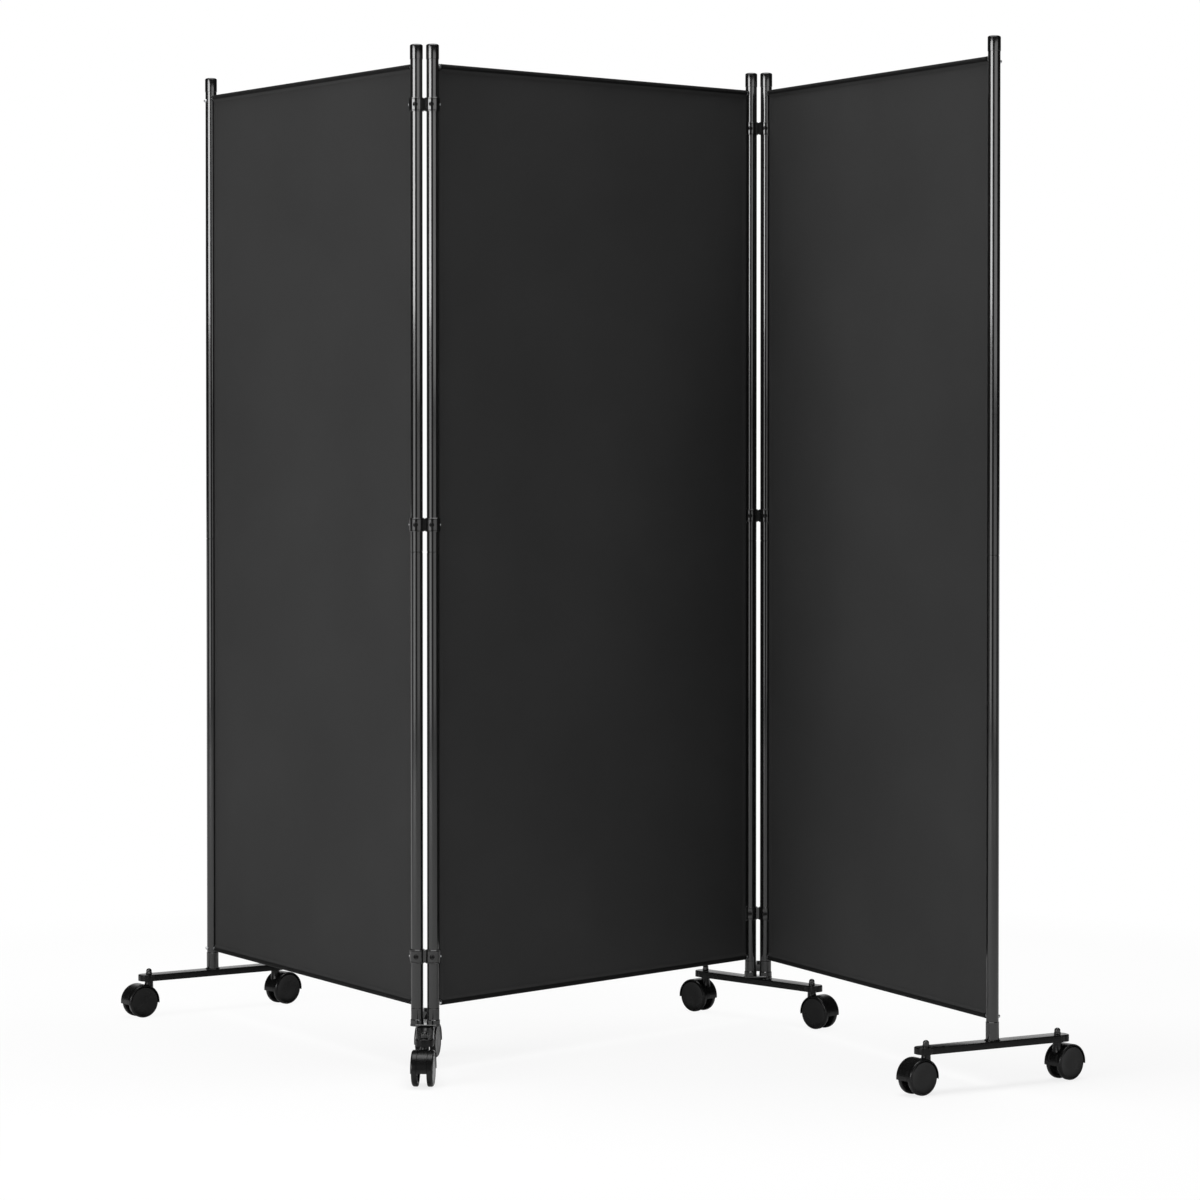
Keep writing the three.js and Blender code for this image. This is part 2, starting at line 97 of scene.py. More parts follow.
# Cloth
CLOTH_EDGE = 11.5 * MM
CLOTH_HALF = 0.5 * MM
HEM_HALF = 0.85 * MM
HEM_WIDTH = 9 * MM
HEM_STEP = MM
SLEEVE_R = 5.6 * MM
SLEEVE_TAPER = 9 * MM
CORNER_CUT = 6 * MM
NOTCH_REACH = 14.8 * MM
NOTCH_HALF = 13.5 * MM
COLUMNS = 60
ROWS = 120
ROWS_INSET = 16 * MM
LEAST_COLUMN = 0.35 * MM
LEAST_ROW = 0.12 * MM
SLEEVE_TURN_STEPS = 12
SLEEVE_TURN_ANGLE = 12.5
TAPER_STEPS = 6
TAPER_START = 0.6

# Pull marks in the cloth: how deep, how far they reach, and their rates in radians per metre
RIPPLE_DEPTH = 0.35 * MM
RIPPLE_REACH = 90 * MM
RIPPLE_RATE = 71
RIPPLE_SWAY = 1.3
RIPPLE_SWAY_RATE = 17
BILLOW_DEPTH = 0.5 * MM
BILLOW_RATE = 4.1
BILLOW_SWAY = 1.7
BILLOW_SWAY_RATE = 5.3
HELD_AT_SIDE = 50 * MM
HELD_AT_RAIL = 20 * MM
LOOSE_BEYOND_RAIL = 30 * MM

# Hems and stitching
# Painted shade: the cloth is darkened in a strip along its side edges, where the gap to the tube lies in
# shade, and over its top and bottom sleeves
HEM_SHADE_SIDE = 4 * MM
HEM_SHADE_END = 9.5 * MM
HEM_SHADE_LEVEL = 0.12
WEAVE_PITCH = 1.1 * MM
STITCH_PITCH = 3.4 * MM
STITCH_LENGTH = 2.3 * MM
THREAD_R = 0.32 * MM
THREAD_SEAT = 0.1 * MM
SEAM_INSET = 1.5 * MM
SEAM_STOP = MM
SEAM_STEP = 20 * MM

# Clips
PAIR_PITCH = 28.6 * MM
CLIP_BORE = 11.15 * MM
CLIP_R = 13.35 * MM
CLIP_EDGE = 0.6 * MM
CLIP_GROOVE = 0.4 * MM
CLIP_GROOVE_INSET = 2.4 * MM
BRIDGE_HALF = 7 * MM
BRIDGE_DIP = 1.6 * MM
RECESS_R = 4.3 * MM
RECESS_BORE = 3.5 * MM
RECESS_HEIGHT = 0.9 * MM
RECESS_FLOOR = -0.2 * MM
RECESS_ROOT = -1.4 * MM
RECESS_MIDDLE_R = 0.3 * MM
CLIP_SCREW = {"head_r": 2.7 * MM, "head_height": 0.9 * MM}
CLIP_SCREW_SEAT = -0.3 * MM
CLIP_SIDE_SCREW = {"head_r": 1.9 * MM, "head_height": 0.8 * MM}

# Sockets under the tubes
SOCKET_TOP = 112 * MM
SPIGOT_TOP = 160 * MM
SPIGOT_R = 9.3 * MM
SPIGOT_WALL = 1.5 * MM
SPIGOT_TIP = 0.8 * MM
STUB_R = 11.5 * MM
COLLAR_R = 12.3 * MM
COLLAR_TOP = 92 * MM
PLATE_BOTTOM = 80.3 * MM
PLATE_TOP = 83.8 * MM
PLATE_EDGE = 0.7 * MM
WEB_HALF = 3.5 * MM
STUD_R = 5 * MM
STUD_BOTTOM = 69.1 * MM
WELD_SIZE = 2.3 * MM
WELD_RIPPLES = 34

# Foot bars and stem bolts
BAR_TOP = 80 * MM
BAR_BOTTOM = 68 * MM
BAR_HALF_LENGTH = 157.5 * MM
BAR_HALF_WIDTH = 15.75 * MM
BAR_CORNER = 13 * MM
BAR_LEAST_CORNER = 0.6 * MM
BAR_WALL = 1.6 * MM
BAR_ROUND = 1.8 * MM
BAR_ROUND_STEPS = 5
BAR_INNER_ROUND = 0.8 * MM
BOSS_R = 6 * MM
BOSS_PROUD = 1.3 * MM
BOSS_EDGE = 0.5 * MM
STEM_R = 3.5 * MM
STEM_BOTTOM = 46 * MM
STEM_EDGE = 0.5 * MM
KNOB_R = 5.35 * MM
KNOB_FLANGE_R = 6 * MM
KNOB_FLANGE_TOP = 2.6 * MM
KNOB_SHOULDER = 3.3 * MM
KNOB_STRAIGHT = 6.4 * MM
KNOB_DOME = 4.5 * MM
KNOB_DOME_STEPS = 7
KNOB_DOME_ANGLE = 84

# Casters
AXLE_Z = 30 * MM
AXLE_R = 4 * MM
AXLE_BOSS_R = 6 * MM
AXLE_BOSS_BORE = 4.5 * MM
TRAIL = 19 * MM
WHEEL_R = 30 * MM
WHEEL_FACE = 19 * MM
WHEEL_INNER = 8.25 * MM
WHEEL_WEB = WHEEL_INNER + 3.6 * MM
WHEEL_WEB_DISH = 0.6 * MM
WHEEL_HUB_R = 9 * MM
WHEEL_RIM_BORE = 22 * MM
WHEEL_DISC_R = 12 * MM
HOOD_R = 32.6 * MM
HOOD_BORE = 31.2 * MM
HOOD_HALF = 19.5 * MM
HOOD_RIM = 1.5 * MM
HOOD_BARREL = 2.5 * MM
HOOD_BARREL_STEPS = 6
HOOD_SHOULDER = 3.4 * MM
HOOD_SEAM = 9 * MM
HOOD_SEAM_HALF = 0.45 * MM
HOOD_END_ANGLE = 6
HOOD_STEPS = 56
CORE_HALF = 6.8 * MM
CORE_BORE = 4.6 * MM
CORE_FILLET = MM
NECK_R = 8 * MM
NECK_FLARE = 1.4 * MM
NECK_LOW = 64 * MM
NECK_TOP = 78.1 * MM
NECK_EDGE = 0.5 * MM
NECK_ROOT_R = 31.9 * MM

# Studio levels, where 1 is white, and the stretches over which they change
PAPER_GLOW_FRONT = 0.80
PAPER_GLOW_BACK = 0.93
PAPER_BACK_STRETCH = (-0.4, 0.4)
PAPER_FADE_STRETCH = (1.0, 2.2)
PAPER_MIRROR_STRETCH = (0.4, 1.4)
STUDIO_FRONT = 0.08
STUDIO_SIDE = 0.03
STUDIO_BACK = 0.45
FRONT_STRETCH = (-0.85, -0.3)
SWEEP_STRETCH = (0.8, 0.93)
BACK_STRETCH = (0.2, 0.6)
FLOOR_HALF = 30

# The screen's own pieces: which uprights a panel has, and which body a foot bar rides on
PANELS = {
    "left_panel": ("inner", "outer"),
    "centre_panel": ("left", "right"),
    "right_panel": ("inner", "outer"),
}
BAR_BODY = {
    "left_end": "left_panel",
    "left_fold": "left_fold_foot",
    "right_fold": "right_fold_foot",
    "right_end": "right_panel",
}
BAR_ENDS = ("front", "rear")


# Places, from the frame

def heights(node_name):
    low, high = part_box(node_name)
    return low.z, high.z


def upright_place(node_name):
    low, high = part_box(node_name)
    return Vector(((low.x + high.x) / 2, (low.y + high.y) / 2, 0))


def pivot(joint_name):
    joint = next(j for j in frame["joints"] if j["name"] == joint_name)
    return Vector(joint["pos_m"])


def standing_at(origin, toward):
    """A placing whose X runs from origin toward a second point, with Z up."""
    flat = Vector((toward.x - origin.x, toward.y - origin.y, 0)).normalized()
    side = Vector((0, 0, 1)).cross(flat)
    axes = Matrix((flat, side, (0, 0, 1))).transposed().to_4x4()
    return Matrix.Translation((origin.x, origin.y, 0)) @ axes


def between_uprights(first, second):
    return standing_at(upright_place(first), upright_place(second))


def bar_place(side):
    front = pivot(f"{side}_front_caster_swivel")
    rear = pivot(f"{side}_rear_caster_swivel")
    return standing_at((front + rear) / 2, rear)


def caster_place(caster):
    return standing_at(pivot(f"{caster}_swivel"), pivot(f"{caster}_roll"))


PANEL_PLACE = {
    panel: between_uprights(f"{panel}_{first}_upright", f"{panel}_{second}_upright")
    for panel, (first, second) in PANELS.items()
}
LINK_PLACE = {
    "left_fold": between_uprights("centre_panel_left_upright", "left_panel_inner_upright"),
    "right_fold": between_uprights("centre_panel_right_upright", "right_panel_inner_upright"),
}
FIRST_UPRIGHT = upright_place("centre_panel_left_upright")
PANEL_PITCH = (upright_place("centre_panel_right_upright") - FIRST_UPRIGHT).length
FOLD_ENDS = {"left_panel": [0], "centre_panel": [0, PANEL_PITCH], "right_panel": [0]}
CLIP_LEVELS = {level: sum(heights(f"left_fold_{level}_clip")) / 2 for level in ("bottom", "middle", "top")}


# Mesh making

def ring_points(radius, height, steps=ROUND_STEPS, shape=None):
    """A closed ring about Z. shape gives the radius share at an angle, for rings that aren't round."""
    points = []
    for k in range(steps):
        angle = 2 * math.pi * k / steps
        r = radius * (shape(angle) if shape else 1)
        points.append(Vector((r * math.cos(angle), r * math.sin(angle), height)))
    return points


def hexagon_share(angle):
    sixth = math.pi / 3
    return math.cos(sixth / 2) / math.cos((angle % sixth) - sixth / 2)


def rounded_rectangle(half_length, half_width, corner, height, steps=8):
    points = []
    for quarter in range(4):
        sx = 1 if quarter in (0, 3) else -1
        sy = 1 if quarter in (0, 1) else -1
        for k in range(steps + 1):
            angle = math.pi / 2 * (quarter + k / steps)
            x = sx * (half_length - corner) + corner * math.cos(angle)
            y = sy * (half_width - corner) + corner * math.sin(angle)
            points.append(Vector((x, y, height)))
    return points


def capsule(radius, height, steps=24):
    """A ring round both uprights of a pair."""
    points = []
    for centre, start in ((PAIR_PITCH, -90), (0, 90)):
        for k in range(steps + 1):
            angle = math.radians(start + 180 * k / steps)
            points.append(Vector((centre + radius * math.cos(angle), radius * math.sin(angle), height)))
    return points


def skin(mesh, rings, place=Matrix(), closed=False):
    """Joins rings of as many points each, one after the other, and caps the ends unless it is closed."""
    rows = [[mesh.verts.new(place @ p) for p in ring] for ring in rings]
    pairs = list(zip(rows, rows[1:]))
    if closed:
        pairs.append((rows[-1], rows[0]))
    for low, high in pairs:
        for k in range(len(low)):
            n = (k + 1) % len(low)
            mesh.faces.new((low[k], low[n], high[n], high[k]))
    if not closed:
        mesh.faces.new(list(reversed(rows[0])))
        mesh.faces.new(rows[-1])


def lathe(mesh, profile, place=Matrix(), steps=ROUND_STEPS, closed=False):
    """Turns a profile of (radius, height) about the placing's Z."""
    skin(mesh, [ring_points(radius, height, steps) for radius, height in profile], place, closed)


def soft_box(mesh, low, high, radius, place=Matrix()):
    """A block with rounded edges."""
    block = bmesh.new()
    bmesh.ops.create_cube(block, size=1)
    size = Vector(high) - Vector(low)
    middle = (Vector(high) + Vector(low)) / 2
    for v in block.verts:
        v.co = Vector(v.co[i] * size[i] + middle[i] for i in range(3))
    bmesh.ops.bevel(block, geom=block.edges[:], offset=radius, segments=2, profile=0.5, affect="EDGES")
    copies = {v: mesh.verts.new(place @ v.co) for v in block.verts}
    for f in block.faces:
        mesh.faces.new([copies[v] for v in f.verts])
    block.free()


def finish_piece(name, mesh, body, material, replaces=(), sharp=SHARP_ANGLE):
    """Writes a bmesh as a piece that rides on a body."""
    bmesh.ops.recalc_face_normals(mesh, faces=mesh.faces[:])
    data = bpy.data.meshes.new(name)
    mesh.to_mesh(data)
    mesh.free()
    data.shade_smooth()
    data.set_sharp_from_angle(angle=math.radians(sharp))
    data.materials.append(material)
    made = bpy.data.objects.new(name, data)
    bpy.context.scene.collection.objects.link(made)
    return settle_piece(made, body, replaces)


def settle_piece(made, body, replaces=()):
    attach(made, body)
    if replaces:
        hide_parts(*replaces)
    return made


# Materials

def new_material(name):
    material = bpy.data.materials.new(name)
    material.use_nodes = True
    tree = material.node_tree
    return material, tree, tree.nodes["Principled BSDF"]


def noise(tree, source, scale, detail=3, roughness=0.5):
    node = tree.nodes.new("ShaderNodeTexNoise")
    node.inputs["Scale"].default_value = scale
    node.inputs["Detail"].default_value = detail
    node.inputs["Roughness"].default_value = roughness
    tree.links.new(source, node.inputs["Vector"])
    return node.outputs["Fac"]


def spread(tree, value, low, high, over=(0.0, 1.0)):
    """Goes from low to high while the value goes over a stretch of its own, and stays there beyond it."""
    node = tree.nodes.new("ShaderNodeMapRange")
    node.inputs["From Min"].default_value = over[0]
    node.inputs["From Max"].default_value = over[1]
    node.inputs["To Min"].default_value = low
    node.inputs["To Max"].default_value = high
    tree.links.new(value, node.inputs["Value"])
    return node.outputs["Result"]


def combine(tree, operation, first, second):
    node = tree.nodes.new("ShaderNodeMath")
    node.operation = operation
    for socket, value in zip(node.inputs, (first, second)):
        if isinstance(value, (int, float)):
            socket.default_value = value
        else:
            tree.links.new(value, socket)
    return node.outputs[0]


def grey(level):
    return (level, level, level)


def mixed_colour(tree, factor, first, second):
    node = tree.nodes.new("ShaderNodeMix")
    node.data_type = "RGBA"
    node.inputs["A"].default_value = (*first, 1)
    node.inputs["B"].default_value = (*second, 1)
    tree.links.new(factor, node.inputs["Factor"])
    return node.outputs["Result"]


def darkened(tree, tone, shade):
    node = tree.nodes.new("ShaderNodeMix")
    node.data_type = "RGBA"
    node.blend_type = "MULTIPLY"
    node.inputs["Factor"].default_value = 1
    tree.links.new(tone, node.inputs["A"])
    tree.links.new(shade, node.inputs["B"])
    return node.outputs["Result"]


def bump(tree, shader, height, distance, strength):
    node = tree.nodes.new("ShaderNodeBump")
    node.inputs["Distance"].default_value = distance
    node.inputs["Strength"].default_value = strength
    tree.links.new(height, node.inputs["Height"])
    tree.links.new(node.outputs["Normal"], shader.inputs["Normal"])


def object_place(tree):
    return tree.nodes.new("ShaderNodeTexCoord").outputs["Object"]


def worn_edges(tree, starts, full):
    """1 on worn outer edges, 0 on flats and in hollows."""
    pointed = tree.nodes.new("ShaderNodeNewGeometry").outputs["Pointiness"]
    return spread(tree, pointed, 0.0, 1.0, over=(starts, full))


def black_coat(name, level, rough, peel, shine):
    """Black powder or lacquer on steel: fine orange peel, cloudy gloss and faint rubbed edges."""
    material, tree, shader = new_material(name)
    shader.inputs["IOR"].default_value = 1.6
    shader.inputs["Specular IOR Level"].default_value = shine
    place = object_place(tree)
    cloud = noise(tree, place, scale=9, detail=4)
    rubbed = combine(tree, "MULTIPLY", worn_edges(tree, starts=0.53, full=0.60), cloud)
    tone = mixed_colour(tree, rubbed, grey(level), grey(4 * level))
    tree.links.new(tone, shader.inputs["Base Color"])
    tree.links.new(spread(tree, cloud, *rough, over=(0.3, 0.7)), shader.inputs["Roughness"])
    bump(tree, shader, noise(tree, place, scale=620, detail=2), distance=0.05 * MM, strength=peel)
    return material


def moulded_black(name, level, rough, grain_scale, grain, shine):
    """Black moulded plastic: fine grain, faint flow marks and paler handled edges."""
    material, tree, shader = new_material(name)
    shader.inputs["Specular IOR Level"].default_value = shine
    place = object_place(tree)
    flow = noise(tree, place, scale=26, detail=4, roughness=0.6)
    rubbed = combine(tree, "MULTIPLY", worn_edges(tree, starts=0.52, full=0.62), 0.8)
    tone = mixed_colour(tree, rubbed, grey(level), grey(3 * level))
    tree.links.new(tone, shader.inputs["Base Color"])
    tree.links.new(spread(tree, flow, *rough, over=(0.3, 0.7)), shader.inputs["Roughness"])
    bump(tree, shader, noise(tree, place, grain_scale, detail=2), distance=0.08 * MM, strength=grain)
    return material


def bright_zinc(name):
    """Zinc plate on steel, cloudy in colour and gloss."""
    material, tree, shader = new_material(name)
    place = object_place(tree)
    patches = noise(tree, place, scale=160, detail=5, roughness=0.65)
    tone = mixed_colour(tree, patches, (0.42, 0.43, 0.44), (0.66, 0.67, 0.68))
    tree.links.new(tone, shader.inputs["Base Color"])
    shader.inputs["Metallic"].default_value = 1
    tree.links.new(spread(tree, patches, 0.22, 0.42), shader.inputs["Roughness"])
    bump(tree, shader, noise(tree, place, scale=2400, detail=2), distance=0.02 * MM, strength=0.4)
    return material


def thread_wave(tree, coordinate):
    node = tree.nodes.new("ShaderNodeMath")
    node.operation = "SINE"
    turns = combine(tree, "MULTIPLY", coordinate, 2 * math.pi / WEAVE_PITCH)
    tree.links.new(turns, node.inputs[0])
    return node.outputs[0]


def hem_shade_share(tree, across, up):
    """Painted shade on the cloth: 1 inside a panel, falling to 0 in a strip along its sides, where the gap
    to the tube lies in shade, and over the top and bottom sleeves.
    """
    low, high = heights("centre_panel_cloth")
    first, last = CLOTH_EDGE, PANEL_PITCH - CLOTH_EDGE
    from_first = combine(tree, "SUBTRACT", across, first)
    from_side = combine(tree, "MINIMUM", from_first, combine(tree, "SUBTRACT", last, across))
    from_low = combine(tree, "SUBTRACT", up, low)
    from_end = combine(tree, "MINIMUM", from_low, combine(tree, "SUBTRACT", high, up))
    side_share = spread(tree, from_side, 0.0, 1.0, over=(HEM_SHADE_SIDE - 0.6 * MM, HEM_SHADE_SIDE))
    end_share = spread(tree, from_end, 0.0, 1.0, over=(HEM_SHADE_END - MM, HEM_SHADE_END))
    return combine(tree, "MINIMUM", side_share, end_share)


def weave_tone(tree, uv, weave, level):
    """The thread's colour, lighter where warp or weft comes up and in broad faint clouds."""
    clouds = noise(tree, uv, scale=3.2, detail=4, roughness=0.55)
    broad = spread(tree, clouds, -0.22, 0.22, over=(0.3, 0.7))
    mixed = combine(tree, "ADD", spread(tree, weave, 0.35, 0.65, over=(-1, 1)), broad)
    return mixed_colour(tree, mixed, grey(0.78 * level), grey(1.22 * level))


def plain_weave(name, level, hem_shaded=False):
    """Plain-woven polyester on the cloth's own UV, which is in metres: warp over weft, turn about."""
    material, tree, shader = new_material(name)
    uv_map = tree.nodes.new("ShaderNodeUVMap")
    uv_map.uv_map = "cloth"
    uv = uv_map.outputs["UV"]
    parts = tree.nodes.new("ShaderNodeSeparateXYZ")
    tree.links.new(uv, parts.inputs["Vector"])
    across, up = parts.outputs["X"], parts.outputs["Y"]
    weave = combine(tree, "MULTIPLY", thread_wave(tree, across), thread_wave(tree, up))
    slub = noise(tree, uv, scale=240, detail=3, roughness=0.6)
    tone = weave_tone(tree, uv, weave, level)
    # Painted shade along the cloth's side edges and over its sleeves
    if hem_shaded:
        shade = mixed_colour(tree, hem_shade_share(tree, across, up), grey(HEM_SHADE_LEVEL), grey(1))
        tone = darkened(tree, tone, shade)
    tree.links.new(tone, shader.inputs["Base Color"])
    tree.links.new(spread(tree, slub, 0.78, 0.95), shader.inputs["Roughness"])
    shader.inputs["Specular IOR Level"].default_value = 0.12
    shader.inputs["Sheen Weight"].default_value = 0.02
    shader.inputs["Sheen Roughness"].default_value = 0.5
    height = combine(tree, "ADD", weave, combine(tree, "MULTIPLY", slub, 0.8))
    bump(tree, shader, height, distance=0.12 * MM, strength=0.5)
    return material


TUBE_BLACK = black_coat("gloss black tube", 0.003, rough=(0.08, 0.10), peel=0.004, shine=0.48)
STEEL_BLACK = black_coat("satin black steel", 0.004, rough=(0.20, 0.30), peel=0.06, shine=0.1)
FITTING_BLACK = moulded_black(
    "black moulded fitting", 0.003, rough=(0.08, 0.11), grain_scale=900, grain=0.004, shine=0.62
)
CASTER_BLACK = moulded_black(
    "satin caster plastic", 0.0035, rough=(0.22, 0.30), grain_scale=700, grain=0.03, shine=0.22
)
ZINC = bright_zinc("bright zinc")
# The cloth carries painted shade along its side edges and over its sleeves
CLOTH = plain_weave("charcoal weave", 0.0272, hem_shaded=True)
THREAD = plain_weave("charcoal thread", 0.032)


# Uprights, caps and rails

def upright_profile(low, high):
    """The tube's cut, with the groove where its two halves meet."""
    foot = [(TUBE_R - FINE_EDGE, low), (TUBE_R, low + FINE_EDGE)]
    joint = [
        (TUBE_R, TUBE_JOINT_Z - 2 * JOINT_GROOVE),
        (TUBE_R - JOINT_GROOVE, TUBE_JOINT_Z - JOINT_GROOVE),
        (TUBE_R - JOINT_GROOVE, TUBE_JOINT_Z + JOINT_GROOVE),
        (TUBE_R, TUBE_JOINT_Z + 2 * JOINT_GROOVE),
    ]
    bore = TUBE_R - TUBE_WALL
    return [*foot, *joint, (TUBE_R, high), (bore, high), (bore, low)]


def cap_profile(foot, top):
    """The cap's cut: a thin skirt round the tube under a domed crown."""
    skirt = [
        (CAP_BORE, top - CAP_CROWN),
        (CAP_BORE, foot),
        (CAP_R - FINE_EDGE, foot),
        (CAP_R, foot + FINE_EDGE),
    ]
    dome = []
    for k in range(CAP_DOME_STEPS + 1):
        angle = math.pi / 2 * k / CAP_DOME_STEPS
        radius = max(CAP_R * math.cos(angle) ** CAP_SIDE_FULLNESS, CAP_DOME_TIP)
        dome.append((radius, top - CAP_DOME * (1 - math.sin(angle) ** CAP_TOP_FULLNESS)))
    return [*skirt, *dome]


def make_upright(panel, end):
    tube_node, cap_node = f"{panel}_{end}_upright", f"{panel}_{end}_cap"
    place = Matrix.Translation(upright_place(tube_node))
    tube = bmesh.new()
    lathe(tube, upright_profile(*heights(tube_node)), place, closed=True)
    finish_piece(f"{panel}_{end}_tube", tube, panel, TUBE_BLACK, [tube_node])
    cap = bmesh.new()
    lathe(cap, cap_profile(*heights(cap_node)), place)
    finish_piece(f"{panel}_{end}_end_cap", cap, panel, FITTING_BLACK, [cap_node])


def make_uprights():
    for panel, ends in PANELS.items():
        for end in ends:
            make_upright(panel, end)


def along_x(start, height):
    """A placing whose Z runs along +X from a point at a height."""
    return Matrix.Translation((start, 0, height)) @ Matrix.Rotation(math.pi / 2, 4, "Y")


def rail_heights():
    low, high = heights("centre_panel_cloth")
    return low + SLEEVE_R, high - SLEEVE_R


def make_rails():
    start = TUBE_R + RAIL_GAP
    length = PANEL_PITCH - 2 * start
    tip = RAIL_R - SOFT_EDGE
    rod = [(tip, 0), (RAIL_R, SOFT_EDGE), (RAIL_R, length - SOFT_EDGE), (tip, length)]
    for panel in PANELS:
        for name, height in zip(("bottom_rail", "top_rail"), rail_heights()):
            rail = bmesh.new()
            lathe(rail, rod, PANEL_PLACE[panel] @ along_x(start, height), SMALL_STEPS)
            finish_piece(f"{panel}_{name}_rod", rail, panel, ZINC, [f"{panel}_{name}"])


# Cloth

def thinned(values, least):
    """Sorted values without those that follow the one before too closely."""
    kept = [values[0]]
    for value in values[1:]:
        if value - kept[-1] > least:
            kept.append(value)
    return kept


def cloth_columns(fold_ends):
    """Distances across a panel where its cloth has a column of points."""
    first, last = CLOTH_EDGE, PANEL_PITCH - CLOTH_EDGE
    marks = {abs(x - NOTCH_REACH) for x in fold_ends}
    for inset in (0, CORNER_CUT, HEM_WIDTH, HEM_WIDTH + HEM_STEP):
        marks |= {first + inset, last - inset}
    marks |= {first + (last - first) * k / COLUMNS for k in range(1, COLUMNS)}
    return thinned(sorted(marks), LEAST_COLUMN)


def cloth_rows(low, high):
    """Heights from the bottom sleeve to the top one, closer where the sleeve turns."""
    marks = set()
    for rail, way in ((low + SLEEVE_R, -1), (high - SLEEVE_R, 1)):
        for k in range(SLEEVE_TURN_STEPS + 1):
            angle = math.radians(90 - SLEEVE_TURN_ANGLE * k)
            marks.add(rail + way * SLEEVE_R * math.sin(angle))
        for k in range(1, TAPER_STEPS + 1):
            marks.add(rail - way * (SLEEVE_R * TAPER_START + SLEEVE_TAPER * k / TAPER_STEPS))
    for middle in CLIP_LEVELS.values():
        marks |= {middle - NOTCH_HALF, middle + NOTCH_HALF}
    start, end = low + ROWS_INSET, high - ROWS_INSET
    marks |= {start + (end - start) * k / ROWS for k in range(ROWS + 1)}
    rows = thinned(sorted(marks), LEAST_ROW)
    rows[0], rows[-1] = low, high
    return rows


def from_cloth_side(x):
    return min(x - CLOTH_EDGE, PANEL_PITCH - CLOTH_EDGE - x)


def half_thickness(x, z, low, high):
    """Half the cloth's thickness: round a rail, doubled along the hems, single elsewhere."""
    rail_gap = min(z - low, high - z) - SLEEVE_R
    if rail_gap <= 0:
        return math.sqrt(max(SLEEVE_R ** 2 - rail_gap ** 2, 0))
    if rail_gap >= SLEEVE_TAPER:
        return HEM_HALF if from_cloth_side(x) <= HEM_WIDTH + TINY else CLOTH_HALF
    share = rail_gap / SLEEVE_TAPER
    ease = share * share * (3 - 2 * share)
    return SLEEVE_R * (1 - ease) + HEM_HALF * ease


def drawn_wave(x, z, low, high):
    """The slight pull marks of stretched cloth: short ripples off the sleeves, a long one across."""
    near = min(z - low, high - z)
    loose = min(1, max(near - HELD_AT_RAIL, 0) / LOOSE_BEYOND_RAIL)
    hold = min(1, from_cloth_side(x) / HELD_AT_SIDE) * loose
    sway = RIPPLE_SWAY * math.sin(x * RIPPLE_SWAY_RATE)
    ripple = RIPPLE_DEPTH * math.sin(x * RIPPLE_RATE + sway) * math.exp(-near / RIPPLE_REACH)
    drift = BILLOW_SWAY * math.sin(x * BILLOW_SWAY_RATE)
    billow = BILLOW_DEPTH * math.sin(z * BILLOW_RATE + drift)
    return hold * (ripple + billow)


def cloth_cell_kept(x, z, low, high, fold_ends):
    """Whether the cloth covers a place: the clips' notches and the sleeves' corners are cut away."""
    in_clip = any(abs(z - middle) < NOTCH_HALF for middle in CLIP_LEVELS.values())
    if in_clip and any(abs(x - fold) < NOTCH_REACH for fold in fold_ends):
        return False
    in_sleeve = min(z - low, high - z) < 2 * SLEEVE_R
    return not (in_sleeve and from_cloth_side(x) < CORNER_CUT)


def cloth_cells(xs, zs, fold_ends):
    low, high = zs[0], zs[-1]
    kept = set()
    for i in range(len(xs) - 1):
        for j in range(len(zs) - 1):
            if cloth_cell_kept((xs[i] + xs[i + 1]) / 2, (zs[j] + zs[j + 1]) / 2, low, high, fold_ends):
                kept.add((i, j))
    return kept


def cell_faces(i, j, kept):
    """Corners (column, row, side) of a cell's front, its back, and its edges that have no neighbour."""
    faces = []
    for side in (1, -1):
        faces.append([(i, j, side), (i + 1, j, side), (i + 1, j + 1, side), (i, j + 1, side)])
    edges = {
        (i - 1, j): ((i, j), (i, j + 1)),
        (i + 1, j): ((i + 1, j), (i + 1, j + 1)),
        (i, j - 1): ((i, j), (i + 1, j)),
        (i, j + 1): ((i, j + 1), (i + 1, j + 1)),
    }
    for neighbour, (a, b) in edges.items():
        if neighbour not in kept:
            faces.append([(*a, 1), (*b, 1), (*b, -1), (*a, -1)])
    return faces


def add_cloth_face(mesh, layer, corners):
    """A face from (point, place) corners, the place being its UV. Points that meet count once."""
    places = dict(corners)
    if len(places) < 3:
        return
    made = mesh.faces.new(list(places))
    for loop in made.loops:
        loop[layer].uv = places[loop.vert]


def cloth_grid(panel, fold_ends):
    """One cloth as a closed skin: a front and a back layer that meet round the rails and at every edge."""
    low, high = heights(f"{panel}_cloth")
    xs, zs = cloth_columns(fold_ends), cloth_rows(low, high)
    mesh = bmesh.new()
    layer = mesh.loops.layers.uv.new("cloth")
    points = {}

    def corner(i, j, side):
        x, z = xs[i], zs[j]
        half = half_thickness(x, z, low, high)
        key = (i, j, side if half > TINY else 0)
        if key not in points:
            y = key[2] * half + drawn_wave(x, z, low, high)
            points[key] = mesh.verts.new(PANEL_PLACE[panel] @ Vector((x, y, z)))
        return points[key], (x, z)

    kept = cloth_cells(xs, zs, fold_ends)
    for i, j in kept:
        for face in cell_faces(i, j, kept):
            add_cloth_face(mesh, layer, [corner(*place) for place in face])
    return mesh


def make_cloths():
    made = {}
    for panel in PANELS:
        mesh = cloth_grid(panel, FOLD_ENDS[panel])
        made[panel] = finish_piece(
            f"{panel}_sheet", mesh, panel, CLOTH, [f"{panel}_cloth"], CLOTH_SHARP_ANGLE
        )
    return made


# Geometry Nodes: what repeats along a line or over a set of places

